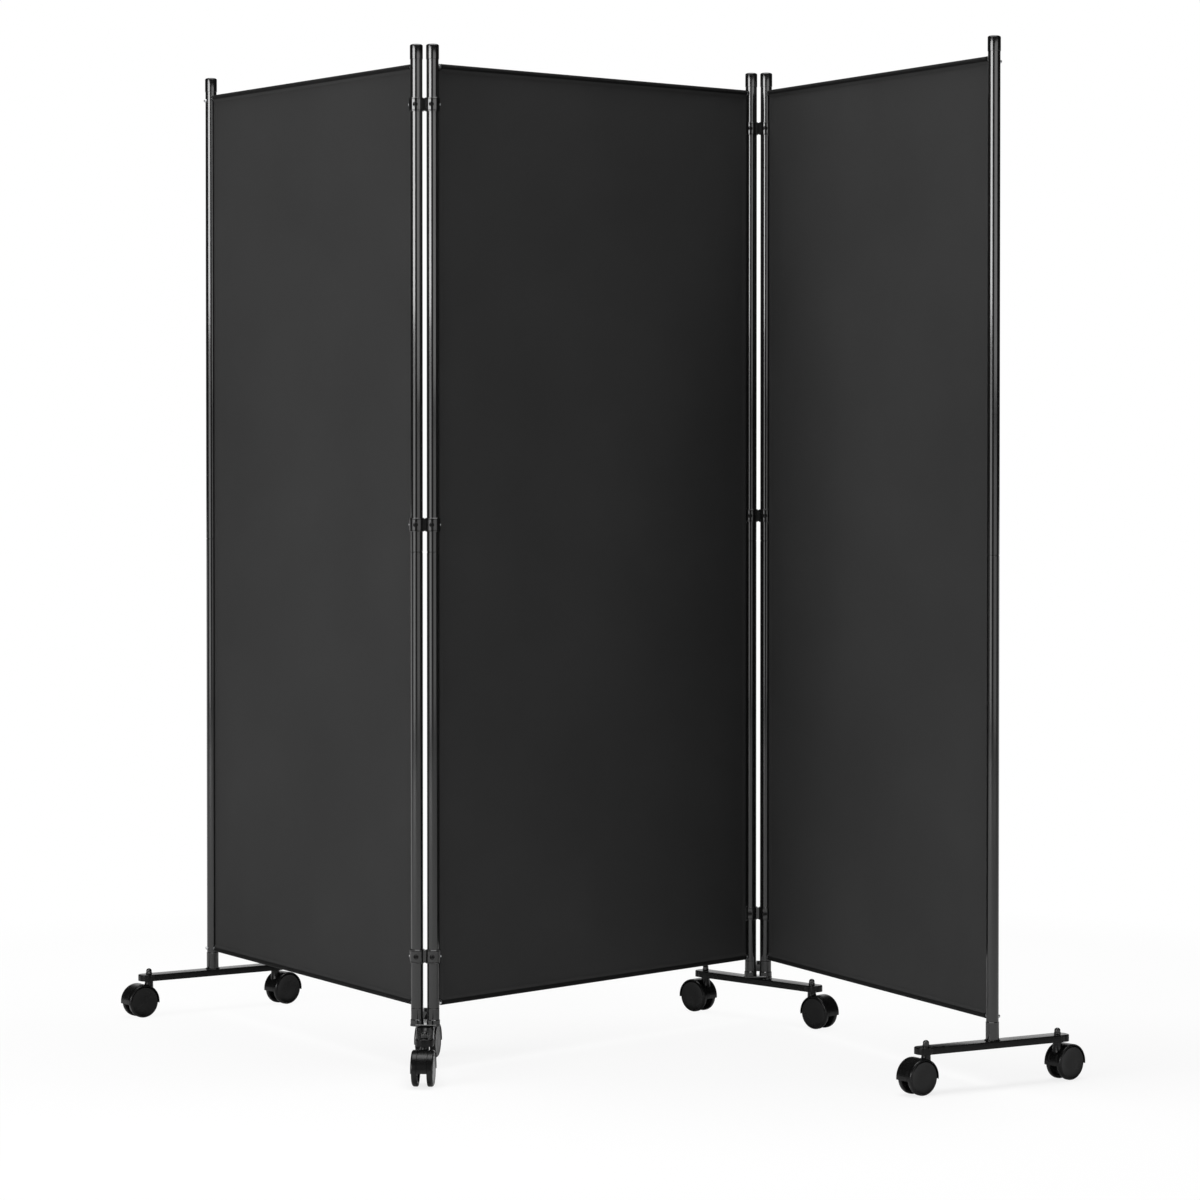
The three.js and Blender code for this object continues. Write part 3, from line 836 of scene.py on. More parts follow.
def node_tree(name, inputs):
    """A geometry tree with a geometry input and output and named inputs of its own."""
    tree = bpy.data.node_groups.new(name, "GeometryNodeTree")
    tree.interface.new_socket("Geometry", in_out="INPUT", socket_type="NodeSocketGeometry")
    sockets = {}
    for label, kind, value in inputs:
        socket = tree.interface.new_socket(label, in_out="INPUT", socket_type=kind)
        if value is not None:
            socket.default_value = value
        sockets[label] = socket.identifier
    tree.interface.new_socket("Geometry", in_out="OUTPUT", socket_type="NodeSocketGeometry")
    return tree, sockets


def node(tree, kind, **links):
    """A node with its inputs linked or set. A name's underscores stand for spaces."""
    made = tree.nodes.new(kind)
    for socket, value in links.items():
        target = made.inputs[socket.replace("_", " ")]
        if isinstance(value, bpy.types.NodeSocket):
            tree.links.new(value, target)
        else:
            target.default_value = value
    return made


def turned_along(tree, direction):
    """The turn that lays a copy's Z along a direction."""
    turn = node(tree, "FunctionNodeAlignRotationToVector", Vector=direction)
    turn.axis = "Z"
    return turn.outputs["Rotation"]


def end_tree(tree, geometry, finish):
    real = node(tree, "GeometryNodeRealizeInstances", Geometry=geometry)
    set_finish = node(tree, "GeometryNodeSetMaterial", Geometry=real.outputs["Geometry"], Material=finish)
    out = tree.nodes.new("NodeGroupOutput")
    tree.links.new(set_finish.outputs["Geometry"], out.inputs["Geometry"])
    return tree


def stitch_tree():
    """Short rounded stitches at an even pitch along every edge of a mesh."""
    inputs = [
        ("Pitch", "NodeSocketFloat", STITCH_PITCH),
        ("Stitch Length", "NodeSocketFloat", STITCH_LENGTH),
        ("Thread Radius", "NodeSocketFloat", THREAD_R),
        ("Thread", "NodeSocketMaterial", None),
    ]
    tree, sockets = node_tree("stitches along a seam", inputs)
    given = tree.nodes.new("NodeGroupInput").outputs
    seam = node(tree, "GeometryNodeMeshToCurve", Mesh=given["Geometry"])
    spaced = node(tree, "GeometryNodeResampleCurve", Curve=seam.outputs["Curve"])
    spaced.mode = "LENGTH"
    tree.links.new(given["Pitch"], spaced.inputs["Length"])
    tangent = tree.nodes.new("GeometryNodeInputTangent").outputs["Tangent"]
    ball = node(tree, "GeometryNodeMeshUVSphere", Segments=6, Rings=4, Radius=1.0)
    half = combine(tree, "MULTIPLY", given["Stitch Length"], 0.5)
    thin = given["Thread Radius"]
    size = node(tree, "ShaderNodeCombineXYZ", X=thin, Y=thin, Z=half)
    copies = node(tree, "GeometryNodeInstanceOnPoints", Points=spaced.outputs["Curve"])
    tree.links.new(ball.outputs["Mesh"], copies.inputs["Instance"])
    tree.links.new(turned_along(tree, tangent), copies.inputs["Rotation"])
    tree.links.new(size.outputs["Vector"], copies.inputs["Scale"])
    return end_tree(tree, copies.outputs["Instances"], given["Thread"]), sockets


def screw_tree():
    """A copy of one screw at each point, turned to the point's facing."""
    inputs = [("Screw", "NodeSocketObject", None), ("Finish", "NodeSocketMaterial", None)]
    tree, sockets = node_tree("screws at places", inputs)
    given = tree.nodes.new("NodeGroupInput").outputs
    facing = tree.nodes.new("GeometryNodeInputNamedAttribute")
    facing.data_type = "FLOAT_VECTOR"
    facing.inputs["Name"].default_value = "facing"
    screw = node(tree, "GeometryNodeObjectInfo", Object=given["Screw"])
    copies = node(tree, "GeometryNodeInstanceOnPoints", Points=given["Geometry"])
    tree.links.new(screw.outputs["Geometry"], copies.inputs["Instance"])
    tree.links.new(turned_along(tree, facing.outputs["Attribute"]), copies.inputs["Rotation"])
    return end_tree(tree, copies.outputs["Instances"], given["Finish"]), sockets


def grown(name, seed_mesh, tree, values):
    """The plain mesh that a geometry tree makes from a seed mesh."""
    seed = bpy.data.objects.new(name + "_seed", seed_mesh)
    bpy.context.scene.collection.objects.link(seed)
    modifier = seed.modifiers.new("grown", "NODES")
    modifier.node_group = tree
    for identifier, value in values.items():
        modifier[identifier] = value
    evaluated = seed.evaluated_get(bpy.context.evaluated_depsgraph_get())
    data = bpy.data.meshes.new_from_object(evaluated)
    data.name = name
    data.shade_smooth()
    data.set_sharp_from_angle(angle=math.radians(GROWN_SHARP_ANGLE))
    made = bpy.data.objects.new(name, data)
    bpy.context.scene.collection.objects.link(made)
    bpy.data.objects.remove(seed)
    return made


STITCHES, STITCH_SOCKETS = stitch_tree()
SCREWS, SCREW_SOCKETS = screw_tree()


# Stitching

def side_seam(x, side, low, high, panel):
    """A side seam, which stops short of each clip notch that it would cross."""
    marks = [low]
    if side in FOLD_ENDS[panel]:
        for middle in CLIP_LEVELS.values():
            marks += [middle - NOTCH_HALF - SEAM_STOP, middle + NOTCH_HALF + SEAM_STOP]
    marks.append(high)
    return [((x, start), (x, end)) for start, end in zip(marks[::2], marks[1::2])]


def seam_lines(panel):
    """Start and end of each line of stitches on one panel, in the panel's own place."""
    low, high = heights(f"{panel}_cloth")
    first, last = CLOTH_EDGE, PANEL_PITCH - CLOTH_EDGE
    hem_gap = SLEEVE_R + SLEEVE_TAPER
    lines = []
    for height in (low + hem_gap, high - hem_gap):
        lines.append(((first + 2 * HEM_WIDTH, height), (last - 2 * HEM_WIDTH, height)))
    inset = HEM_WIDTH - SEAM_INSET
    for x, side in ((first + inset, 0), (last - inset, PANEL_PITCH)):
        lines += side_seam(x, side, low + 2 * hem_gap, high - 2 * hem_gap, panel)
    return lines


def stitch_seed(panel):
    """The seams of one panel, front and back, as edges on the cloth's own surface."""
    low, high = heights(f"{panel}_cloth")
    points, edges = [], []
    for (x0, z0), (x1, z1) in seam_lines(panel):
        steps = max(2, round(math.hypot(x1 - x0, z1 - z0) / SEAM_STEP))
        for side in (1, -1):
            for k in range(steps + 1):
                x, z = x0 + (x1 - x0) * k / steps, z0 + (z1 - z0) * k / steps
                y = side * (HEM_HALF + THREAD_SEAT) + drawn_wave(x, z, low, high)
                points.append(PANEL_PLACE[panel] @ Vector((x, y, z)))
                if k:
                    edges.append((len(points) - 2, len(points) - 1))
    seed = bpy.data.meshes.new(f"{panel}_seams")
    seed.from_pydata(points, edges, [])
    return seed


def make_stitching():
    made = {}
    for panel in PANELS:
        values = {STITCH_SOCKETS["Thread"]: THREAD}
        piece = grown(f"{panel}_stitching", stitch_seed(panel), STITCHES, values)
        made[panel] = settle_piece(piece, panel)
    return made


# Screws

def button_screw(name, head_r, head_height):
    """A button-head screw with a hexagon socket, to be copied: seat at the origin, facing +Z."""
    root = 0.5 * MM
    socket_r = 0.42 * head_r
    socket_depth = 0.65 * head_height
    dome = ((1, 0.22), (0.93, 0.55), (0.74, 0.86), (0.55, 1))
    rings = [ring_points(0.98 * head_r, -root, SCREW_STEPS)]
    for width, height in dome:
        rings.append(ring_points(width * head_r, height * head_height, SCREW_STEPS))
    rings.append(ring_points(socket_r, head_height, SCREW_STEPS, hexagon_share))
    rings.append(ring_points(0.96 * socket_r, head_height - socket_depth, SCREW_STEPS, hexagon_share))
    mesh = bmesh.new()
    skin(mesh, rings)
    bmesh.ops.recalc_face_normals(mesh, faces=mesh.faces[:])
    data = bpy.data.meshes.new(name)
    mesh.to_mesh(data)
    mesh.free()
    pattern = bpy.data.objects.new(name, data)
    bpy.context.scene.collection.objects.link(pattern)
    return pattern


def screws(name, body, pattern, places, finish):
    """places holds (point, facing) in the row frame."""
    seed = bpy.data.meshes.new(name)
    seed.from_pydata([p for p, _ in places], [], [])
    facing = seed.attributes.new("facing", "FLOAT_VECTOR", "POINT")
    facing.data.foreach_set("vector", [c for _, way in places for c in way])
    values = {SCREW_SOCKETS["Screw"]: pattern, SCREW_SOCKETS["Finish"]: finish}
    return settle_piece(grown(name, seed, SCREWS, values), body)


def facing_from(place, point, way):
    """A screw's (point, facing), both given in a placing's own axes."""
    return place @ Vector(point), place.to_3x3() @ Vector(way)


def make_rail_screws():
    """Screws through the outer uprights at the rails, heads standing off the tube's sides."""
    pattern = button_screw("rail_screw_pattern", **RAIL_SCREW)
    bottom, top = rail_heights()
    for panel, sides in RAIL_SCREW_SIDES.items():
        places = []
        for height in (bottom, top - RAIL_SCREW_DROP):
            for side in sides:
                point = (PANEL_PITCH, side * TUBE_R, height)
                places.append(facing_from(PANEL_PLACE[panel], point, (0, side, 0)))
        screws(f"{panel}_rail_screws", panel, pattern, places, ZINC)
    bpy.data.objects.remove(pattern)


# Clips

def clip_band_profile(low, high):
    """A band's cut, with a fine groove round it near either end."""
    outer = [(CLIP_R - CLIP_EDGE, low), (CLIP_R, low + CLIP_EDGE)]
    for z in (low + CLIP_GROOVE_INSET, high - CLIP_GROOVE_INSET):
        outer += [(CLIP_R, z - CLIP_GROOVE), (CLIP_R - CLIP_GROOVE, z), (CLIP_R, z + CLIP_GROOVE)]
    outer += [(CLIP_R, high - CLIP_EDGE), (CLIP_R - CLIP_EDGE, high)]
    return [*outer, (CLIP_BORE, high), (CLIP_BORE, low)]


def drawn_in(outline, centre, y, inset):
    """A ring from an outline of (x, z) at a depth y, its points drawn in toward the centre."""
    ring = []
    for x, z in outline:
        pull_x, pull_z = centre[0] - x, centre[1] - z
        step_x = math.copysign(min(abs(pull_x), inset), pull_x)
        ring.append(Vector((x + step_x, y, z + math.copysign(inset, pull_z))))
    return ring


def clip_bridge(mesh, place, low, high):
    """The black block between the two bands, with a shallow V along its top and bottom."""
    start, end = CLIP_BORE, PAIR_PITCH - CLIP_BORE
    centre = (PAIR_PITCH / 2, (low + high) / 2)
    bottom = [(start, low), (centre[0], low + BRIDGE_DIP), (end, low)]
    top = [(end, high), (centre[0], high - BRIDGE_DIP), (start, high)]
    flat = BRIDGE_HALF - CLIP_EDGE
    depths = ((-BRIDGE_HALF, CLIP_EDGE), (-flat, 0), (flat, 0), (BRIDGE_HALF, CLIP_EDGE))
    skin(mesh, [drawn_in(bottom + top, centre, y, inset) for y, inset in depths], place)


def recess_cup(mesh, place):
    """A raised round seat with a hollow for a screw head, facing +Z."""
    rim = [
        (RECESS_R, RECESS_ROOT),
        (RECESS_R, RECESS_HEIGHT - FINE_EDGE),
        (RECESS_R - FINE_EDGE, RECESS_HEIGHT),
        (RECESS_BORE, RECESS_HEIGHT),
    ]
    hollow = [(RECESS_BORE, RECESS_FLOOR), (RECESS_MIDDLE_R, RECESS_FLOOR)]
    lathe(mesh, [*rim, *hollow], place, SMALL_STEPS)


def facing_y(x, way, height):
    """A placing on a clip band whose Z points out of it, along local +Y or -Y."""
    return Matrix.Translation((x, way * CLIP_R, height)) @ Matrix.Rotation(-way * math.pi / 2, 4, "X")


def make_clip(side, level, place):
    node_name = f"{side}_{level}_clip"
    low, high = heights(node_name)
    mesh = bmesh.new()
    for x in (0, PAIR_PITCH):
        lathe(mesh, clip_band_profile(low, high), place @ Matrix.Translation((x, 0, 0)), closed=True)
    clip_bridge(mesh, place, low, high)
    body = f"{side}_link"
    finish_piece(f"{node_name}_body", mesh, body, FITTING_BLACK, [node_name])
    return (low + high) / 2


def make_fold_clips(side, place, dark, bright):
    """The three clips of a fold, dark screws in their recesses and bright ones at their outer sides."""
    face_places, side_places = [], []
    recesses = bmesh.new()
    for level in ("top", "middle", "bottom"):
        middle = make_clip(side, level, place)
        for x in (0, PAIR_PITCH):
            for way in (1, -1):
                seat = place @ facing_y(x, way, middle)
                recess_cup(recesses, seat)
                face_places.append(facing_from(seat, (0, 0, CLIP_SCREW_SEAT), (0, 0, 1)))
        for x, way in ((-CLIP_R, -1), (PAIR_PITCH + CLIP_R, 1)):
            side_places.append(facing_from(place, (x, 0, middle), (way, 0, 0)))
    body = f"{side}_link"
    finish_piece(f"{side}_clip_recesses", recesses, body, STEEL_BLACK)
    screws(f"{side}_clip_screws", body, dark, face_places, STEEL_BLACK)
    screws(f"{side}_clip_side_screws", body, bright, side_places, ZINC)


def make_clips():
    dark = button_screw("clip_screw_pattern", **CLIP_SCREW)
    bright = button_screw("clip_side_screw_pattern", **CLIP_SIDE_SCREW)
    for side, place in LINK_PLACE.items():
        make_fold_clips(side, place, dark, bright)
    bpy.data.objects.remove(dark)
    bpy.data.objects.remove(bright)


# Sockets under the tubes

def socket_profile(foot, sleeve_r, floor):
    """A socket's cut: its foot, the sleeve that a tube stands on and the hollow spigot inside the tube."""
    sleeve = [(sleeve_r, SOCKET_TOP - SOFT_EDGE), (sleeve_r - SOFT_EDGE, SOCKET_TOP)]
    spigot = [
        (SPIGOT_R, SOCKET_TOP),
        (SPIGOT_R, SPIGOT_TOP - MM),
        (SPIGOT_R - SPIGOT_TIP, SPIGOT_TOP),
    ]
    bore = SPIGOT_R - SPIGOT_WALL
    return [*foot, *sleeve, *spigot, (bore, SPIGOT_TOP), (bore, floor)]


def collar_foot():
    """The stepped collar round a tube's foot on a fold's plate."""
    collar_r = COLLAR_R - 0.5 * MM
    return [
        (collar_r, PLATE_TOP - OVERLAP),
        (collar_r, COLLAR_TOP - MM),
        (collar_r - 0.8 * MM, COLLAR_TOP),
        (TUBE_R, COLLAR_TOP + 0.2 * MM),
    ]


def make_twin_socket(side, place):
    mesh = bmesh.new()
    under = [capsule(COLLAR_R, PLATE_BOTTOM), capsule(COLLAR_R, PLATE_TOP - PLATE_EDGE)]
    skin(mesh, [*under, capsule(COLLAR_R - PLATE_EDGE, PLATE_TOP)], place)
    for x in (0, PAIR_PITCH):
        sleeve = socket_profile(collar_foot(), TUBE_R, PLATE_TOP)
        lathe(mesh, sleeve, place @ Matrix.Translation((x, 0, 0)))
    web_low = (TUBE_R - OVERLAP, -WEB_HALF, COLLAR_TOP)
    web_high = (PAIR_PITCH - TUBE_R + OVERLAP, WEB_HALF, SOCKET_TOP)
    soft_box(mesh, web_low, web_high, MM, place)
    tip = [(STUD_R - SOFT_EDGE, STUD_BOTTOM), (STUD_R, STUD_BOTTOM + SOFT_EDGE)]
    middle = place @ Matrix.Translation((PAIR_PITCH / 2, 0, 0))
    lathe(mesh, [*tip, (STUD_R, PLATE_BOTTOM + OVERLAP)], middle, SMALL_STEPS)
    name = f"{side}_twin_socket"
    finish_piece(f"{name}_body", mesh, f"{side}_link", TUBE_BLACK, [name])


def make_twin_sockets():
    for side, place in LINK_PLACE.items():
        make_twin_socket(side, place)


# Feet

def bar_ring(inset, height):
    corner = max(BAR_CORNER - inset, BAR_LEAST_CORNER)
    return rounded_rectangle(BAR_HALF_LENGTH - inset, BAR_HALF_WIDTH - inset, corner, height)


def pressed_bar(mesh, place):
    """The channel: up its inside, round the lip, up the outside and over the rounded top."""
    inner_top = BAR_TOP - BAR_WALL
    inner = [
        bar_ring(BAR_WALL + BAR_INNER_ROUND, inner_top),
        bar_ring(BAR_WALL, inner_top - BAR_INNER_ROUND),
        bar_ring(BAR_WALL, BAR_BOTTOM),
    ]
    outer = [bar_ring(FINE_EDGE, BAR_BOTTOM), bar_ring(0, BAR_BOTTOM + FINE_EDGE)]
    for k in range(BAR_ROUND_STEPS + 1):
        angle = math.pi / 2 * k / BAR_ROUND_STEPS
        height = BAR_TOP - BAR_ROUND * (1 - math.sin(angle))
        outer.append(bar_ring(BAR_ROUND * (1 - math.cos(angle)), height))
    skin(mesh, [*inner, *outer], place)


def weld_bead(mesh, place):
    """A bead round the stub, with the small ripples of a hand-laid weld."""
    def rippled(angle):
        return 1 + 0.02 * math.sin(WELD_RIPPLES * angle) + 0.008 * math.sin(3 * angle + 1)

    toe, slope = STUB_R + WELD_SIZE, 0.62 * WELD_SIZE
    rings = [
        ring_points(STUB_R - OVERLAP, BAR_TOP - OVERLAP, WHEEL_STEPS),
        ring_points(toe, BAR_TOP - OVERLAP, WHEEL_STEPS),
        ring_points(toe, BAR_TOP + 0.1 * MM, WHEEL_STEPS, rippled),
        ring_points(STUB_R + slope, BAR_TOP + slope, WHEEL_STEPS, rippled),
        ring_points(STUB_R + 0.1 * MM, BAR_TOP + WELD_SIZE, WHEEL_STEPS),
        ring_points(STUB_R - OVERLAP, BAR_TOP + WELD_SIZE, WHEEL_STEPS),
    ]
    skin(mesh, rings, place, closed=True)


def stem_ribs(mesh, side, place):
    """Upright round ribs that stand out of the bar's long faces where each caster stem passes."""
    foot = BAR_BOTTOM + FINE_EDGE
    rib = [
        (BOSS_R - BOSS_EDGE, foot),
        (BOSS_R, foot + BOSS_EDGE),
        (BOSS_R, BAR_TOP - BAR_ROUND),
        (BOSS_R - BAR_ROUND / 2, BAR_TOP - BAR_ROUND / 2),
    ]
    for end in BAR_ENDS:
        stem = place.inverted() @ pivot(f"{side}_{end}_caster_swivel")
        for way in (1, -1):
            centre = Vector((stem.x, way * (BAR_HALF_WIDTH + BOSS_PROUD - BOSS_R), 0))
            lathe(mesh, rib, place @ Matrix.Translation(centre), SMALL_STEPS)


def make_foot_socket(side, body, place):
    """The welded stub and spigot that an outer upright stands on."""
    socket = bmesh.new()
    lathe(socket, socket_profile([(STUB_R, BAR_TOP - OVERLAP)], STUB_R, BAR_TOP), place)
    finish_piece(f"{side}_foot_socket", socket, body, TUBE_BLACK)


def make_bars():
    for side, body in BAR_BODY.items():
        place = bar_place(side)
        mesh = bmesh.new()
        pressed_bar(mesh, place)
        stem_ribs(mesh, side, place)
        if side.endswith("end"):
            weld_bead(mesh, place)
            make_foot_socket(side, body, place)
        finish_piece(f"{side}_foot_channel", mesh, body, STEEL_BLACK, [f"{side}_foot_bar"])


def knob_profile():
    """A stem bolt's cut: the shank down into the caster, a flange on the bar and a capsule-shaped knob."""
    base = BAR_TOP + FINE_EDGE
    shank = [(STEM_R - STEM_EDGE, STEM_BOTTOM), (STEM_R, STEM_BOTTOM + STEM_EDGE), (STEM_R, base)]
    flange = [
        (KNOB_FLANGE_R - SOFT_EDGE, base),
        (KNOB_FLANGE_R, base + SOFT_EDGE),
        (KNOB_FLANGE_R, base + KNOB_FLANGE_TOP),
        (KNOB_R + 0.1 * MM, base + KNOB_SHOULDER),
    ]
    dome = []
    for k in range(KNOB_DOME_STEPS + 1):
        angle = math.radians(KNOB_DOME_ANGLE) * k / KNOB_DOME_STEPS
        dome.append((KNOB_R * math.cos(angle), base + KNOB_STRAIGHT + KNOB_DOME * math.sin(angle)))
    return [*shank, *flange, *dome]


def make_stem_bolts():
    for side, body in BAR_BODY.items():
        for end in BAR_ENDS:
            caster = f"{side}_{end}_caster"
            mesh = bmesh.new()
            lathe(mesh, knob_profile(), caster_place(caster), KNOB_STEPS)
            name = f"{caster}_stem_bolt"
            finish_piece(f"{name}_knob", mesh, body, FITTING_BLACK, [name])


# Casters

def about_axle(angle, radius, along):
    """A caster point at an angle about the axle, from the stem side's horizontal."""
    return Vector((TRAIL + radius * math.cos(angle), along, AXLE_Z + radius * math.sin(angle)))


def axle_place(way):
    """A placing on a caster's axle whose Z runs along it, to one side or the other."""
    return Matrix.Translation((TRAIL, 0, AXLE_Z)) @ Matrix.Rotation(-way * math.pi / 2, 4, "X")


def hood_side(way):
    """The outer line of half the hood's cut, from its rim to the middle, as (along the axle, radius)."""
    line = [(HOOD_HALF, HOOD_BORE - HOOD_RIM), (HOOD_HALF, HOOD_R - HOOD_BARREL)]
    for k in range(1, HOOD_BARREL_STEPS + 1):
        angle = math.pi / 2 * k / HOOD_BARREL_STEPS
        along = HOOD_HALF - HOOD_SHOULDER * (1 - math.cos(angle))
        line.append((along, HOOD_R - HOOD_BARREL * (1 - math.sin(angle))))
    groove = (HOOD_SEAM, HOOD_R - 1.2 * HOOD_SEAM_HALF)
    line += [(HOOD_SEAM + HOOD_SEAM_HALF, HOOD_R), groove, (HOOD_SEAM - HOOD_SEAM_HALF, HOOD_R)]
    return [(way * y, r) for y, r in line]


def hood_profile():
    """The hood's cut: a barrel-shaped shell over both wheels with the core between them."""
    outer = hood_side(1) + list(reversed(hood_side(-1)))
    half = [
        (-HOOD_HALF + 0.6 * MM, HOOD_BORE - HOOD_RIM),
        (-HOOD_HALF + HOOD_SHOULDER, HOOD_BORE),
        (-CORE_HALF - CORE_FILLET, HOOD_BORE),
        (-CORE_HALF, HOOD_BORE - CORE_FILLET),
        (-CORE_HALF, CORE_BORE),
    ]
    return [*outer, *half, *[(-y, r) for y, r in reversed(half)]]


def hood(mesh, place):
    start, end = math.radians(-HOOD_END_ANGLE), math.radians(180 + HOOD_END_ANGLE)
    rings = []
    for k in range(HOOD_STEPS + 1):
        angle = start + (end - start) * k / HOOD_STEPS
        rings.append([about_axle(angle, r, y) for y, r in hood_profile()])
    skin(mesh, rings, place)


def core_boss(mesh, place):
    """The ring round the axle in the core's middle."""
    ring = [
        (AXLE_BOSS_BORE, -CORE_HALF),
        (AXLE_BOSS_R, -CORE_HALF),
        (AXLE_BOSS_R, CORE_HALF),
        (AXLE_BOSS_BORE, CORE_HALF),
    ]
    lathe(mesh, ring, place @ axle_place(-1), SMALL_STEPS, closed=True)


def draped_ring(radius, lift):
    """A ring about the stem that follows the hood's own curve, lifted off it."""
    ring = []
    for p in ring_points(radius, 0, KNOB_STEPS):
        surface = AXLE_Z + math.sqrt(max(NECK_ROOT_R ** 2 - (p.x - TRAIL) ** 2, 0))
        ring.append(Vector((p.x, p.y, surface + lift)))
    return ring


def neck(mesh, place):
    """The neck rises from the hood's own surface to the underside of the bar."""
    seat = [draped_ring(NECK_R * share, 0) for share in (0.2, 0.6, 1)]
    flare = [draped_ring(NECK_R + NECK_FLARE, 0), draped_ring(NECK_R + NECK_EDGE, NECK_FLARE)]
    rise = [
        ring_points(NECK_R, NECK_LOW, KNOB_STEPS),
        ring_points(NECK_R, NECK_TOP - NECK_EDGE, KNOB_STEPS),
        ring_points(NECK_R - NECK_EDGE, NECK_TOP, KNOB_STEPS),
    ]
    skin(mesh, [*seat, *flare, *rise], place)


def wheel_profile():
    """One wheel's cut as (radius, along the axle), from its inner face to its flat outer disc."""
    dish = WHEEL_WEB - WHEEL_WEB_DISH
    inner_face = [(AXLE_R, WHEEL_WEB), (WHEEL_HUB_R, WHEEL_WEB), (WHEEL_HUB_R + WHEEL_WEB_DISH, dish)]
    rim_back = [
        (WHEEL_RIM_BORE, dish),
        (WHEEL_RIM_BORE + 1.5 * MM, WHEEL_INNER + 0.8 * MM),
        (WHEEL_RIM_BORE + 2.5 * MM, WHEEL_INNER),
    ]
    tread = [
        (WHEEL_R - 1.6 * MM, WHEEL_INNER),
        (WHEEL_R - 0.5 * MM, WHEEL_INNER + 0.5 * MM),
        (WHEEL_R, WHEEL_INNER + 1.6 * MM),
        (WHEEL_R, WHEEL_FACE - 4.2 * MM),
        (WHEEL_R - 0.4 * MM, WHEEL_FACE - 2.8 * MM),
        (WHEEL_R - 1.2 * MM, WHEEL_FACE - 1.7 * MM),
    ]
    bevel = [(WHEEL_R - 2.1 * MM, WHEEL_FACE - 0.9 * MM), (WHEEL_R - 2.9 * MM, WHEEL_FACE - 0.4 * MM)]
    face = [
        (WHEEL_R - 3.3 * MM, WHEEL_FACE - 0.55 * MM),
        (WHEEL_DISC_R, WHEEL_FACE - 0.2 * MM),
        (AXLE_R, WHEEL_FACE),
    ]
    return [*inner_face, *rim_back, *tread, *bevel, *face]


def wheel_pair(mesh, place):
    """Two wheels on one axle, which reaches into both."""
    for way in (1, -1):
        lathe(mesh, wheel_profile(), place @ axle_place(way), WHEEL_STEPS)
    reach = WHEEL_INNER + 5 * MM
    lathe(mesh, [(AXLE_R, -reach), (AXLE_R, reach)], place @ axle_place(1), SMALL_STEPS)


def make_caster(caster):
    place = caster_place(caster)
    housing = bmesh.new()
    hood(housing, place)
    core_boss(housing, place)
    neck(housing, place)
    finish_piece(f"{caster}_hood", housing, caster, CASTER_BLACK, [f"{caster}_housing"])
    wheels = bmesh.new()
    wheel_pair(wheels, place)
    name = f"{caster}_wheels"
    finish_piece(f"{caster}_twin_wheels", wheels, name, CASTER_BLACK, [name])


def make_casters():
    for side in BAR_BODY:
        for end in BAR_ENDS:
            make_caster(f"{side}_{end}_caster")


# Stage, light and camera

def ray_kinds(tree):
    """Three values of 0 or 1: a ray from the camera or through glass, a mirrored ray, a diffuse ray."""
    rays = tree.nodes.new("ShaderNodeLightPath").outputs
    shown = combine(tree, "MAXIMUM", rays["Is Camera Ray"], rays["Is Transmission Ray"])
    return shown, rays["Is Glossy Ray"], rays["Is Diffuse Ray"]


def paper_glow(tree):
    """The share of plain white light in the floor: all far off, and for gloss only behind the screen."""
    shown, mirrored, _ = ray_kinds(tree)
    place = object_place(tree)
    away = tree.nodes.new("ShaderNodeVectorMath")
    away.operation = "LENGTH"
    tree.links.new(place, away.inputs[0])
    parts = tree.nodes.new("ShaderNodeSeparateXYZ")
    tree.links.new(place, parts.inputs[0])
    depth = parts.outputs["Y"]
    near = spread(tree, depth, PAPER_GLOW_FRONT, PAPER_GLOW_BACK, PAPER_BACK_STRETCH)
    far = spread(tree, away.outputs["Value"], PAPER_GLOW_FRONT, 1.0, PAPER_FADE_STRETCH)
    behind = combine(tree, "MULTIPLY", mirrored, spread(tree, depth, 0.0, 1.0, PAPER_MIRROR_STRETCH))
    seen = combine(tree, "MAXIMUM", shown, behind)
    return combine(tree, "MULTIPLY", seen, combine(tree, "MAXIMUM", near, far))


def paper_floor(name):
    """White paper: it takes the object's shadow near by and fades into the plain background."""
    material, tree, shader = new_material(name)
    shader.inputs["Base Color"].default_value = (0.92, 0.92, 0.92, 1)
    shader.inputs["Roughness"].default_value = 0.9
    shader.inputs["Specular IOR Level"].default_value = 0.1
    glow = tree.nodes.new("ShaderNodeEmission")
    glow.inputs["Color"].default_value = (1, 1, 1, 1)
    blend = tree.nodes.new("ShaderNodeMixShader")
    tree.links.new(paper_glow(tree), blend.inputs[0])
    tree.links.new(shader.outputs["BSDF"], blend.inputs[1])
    tree.links.new(glow.outputs["Emission"], blend.inputs[2])
    tree.links.new(blend.outputs["Shader"], tree.nodes["Material Output"].inputs["Surface"])
    return material


def make_floor():
    mesh = bmesh.new()
    bmesh.ops.create_grid(mesh, x_segments=1, y_segments=1, size=FLOOR_HALF)
    data = bpy.data.meshes.new("floor")
    mesh.to_mesh(data)
    mesh.free()
    data.materials.append(paper_floor("white paper floor"))
    floor = bpy.data.objects.new("floor", data)
    bpy.context.scene.collection.objects.link(floor)


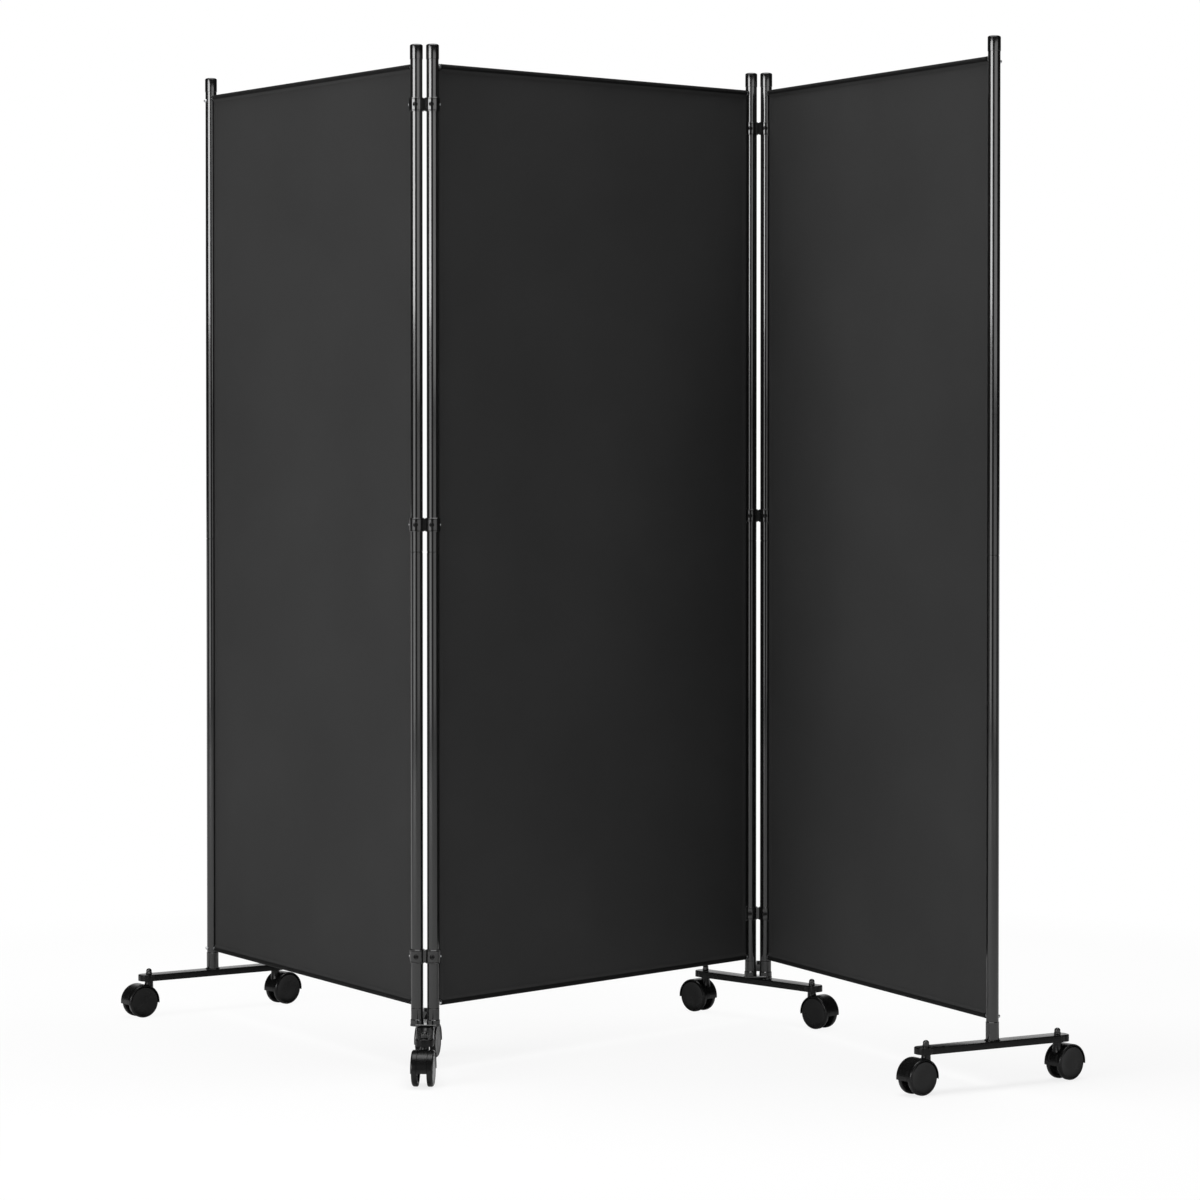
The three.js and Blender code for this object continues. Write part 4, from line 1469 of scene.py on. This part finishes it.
def make_world():
    """A dim studio, brighter in front. Behind it is white for gloss, with a soft fill for dull faces."""
    world = bpy.data.worlds.new("studio")
    bpy.context.scene.world = world
    world.use_nodes = True
    tree = world.node_tree
    facing = tree.nodes.new("ShaderNodeSeparateXYZ")
    tree.links.new(tree.nodes.new("ShaderNodeTexCoord").outputs["Generated"], facing.inputs[0])
    away = facing.outputs["Y"]
    shown, mirrored, diffuse = ray_kinds(tree)
    room = spread(tree, away, STUDIO_FRONT, STUDIO_SIDE, FRONT_STRETCH)
    sweep = combine(tree, "MULTIPLY", mirrored, spread(tree, away, 0.0, 1.0, SWEEP_STRETCH))
    fill = combine(tree, "MULTIPLY", diffuse, spread(tree, away, 0.0, STUDIO_BACK, BACK_STRETCH))
    white = combine(tree, "MAXIMUM", combine(tree, "MAXIMUM", shown, sweep), fill)
    background = tree.nodes["Background"]
    background.inputs["Color"].default_value = (1, 1, 1, 1)
    tree.links.new(combine(tree, "MAXIMUM", room, white), background.inputs["Strength"])


def softbox(name, place, target, size, power):
    light = bpy.data.lights.new(name, "AREA")
    light.shape = "RECTANGLE"
    light.size, light.size_y = size
    light.energy = power
    lamp = bpy.data.objects.new(name, light)
    lamp.location = place
    lamp.rotation_euler = (Vector(target) - Vector(place)).to_track_quat("-Z", "Y").to_euler()
    bpy.context.scene.collection.objects.link(lamp)


def make_lights():
    make_world()
    left, right = (-4.6, -4.6), (3.7, -5.6)
    softbox("left front softbox", place=(*left, 2.2), target=(0, 0, 1.3), size=(4.6, 1.5), power=240)
    softbox("left low panel", place=(*left, 0.75), target=(0, 0, 0.75), size=(4.6, 1.3), power=48)
    softbox("right front softbox", place=(*right, 2.0), target=(0.3, 0, 1.3), size=(6.2, 1.6), power=76)
    softbox("right low panel", place=(*right, 0.6), target=(0.3, 0, 0.6), size=(6.2, 1.0), power=24)
    softbox("overhead softbox", place=(0, -0.2, 4.8), target=(0, -0.2, 0), size=(3.8, 3.0), power=210)


def make_camera():
    data = bpy.data.cameras.new("camera")
    data.sensor_width = SENSOR_MM
    data.lens = FOCAL_PIXELS / FRAME_PIXELS * SENSOR_MM
    middle = (FRAME_PIXELS - 1) / 2
    data.shift_x = (middle - AXIS_COLUMN_PIXELS) / FRAME_PIXELS
    data.shift_y = (AXIS_ROW_PIXELS - middle) / FRAME_PIXELS
    data.clip_end = CAMERA_REACH
    camera = bpy.data.objects.new("camera", data)
    camera.location = CAMERA_PLACE
    camera.rotation_euler = (math.radians(90 - CAMERA_PITCH_DOWN), 0, 0)
    bpy.context.scene.collection.objects.link(camera)
    bpy.context.scene.camera = camera


def plate_pivot_nuts():
    for side in LINK_PLACE:
        nut = frame["nodes"][f"{side}_pivot_nut"]
        nut.data.materials.clear()
        nut.data.materials.append(ZINC)


make_camera()
make_uprights()
make_rails()
cloths = make_cloths()
stitching = make_stitching()
make_rail_screws()
make_clips()
make_twin_sockets()
make_bars()
make_stem_bolts()
make_casters()
plate_pivot_nuts()
make_floor()
make_lights()
bpy.context.scene.view_settings.view_transform = "Standard"
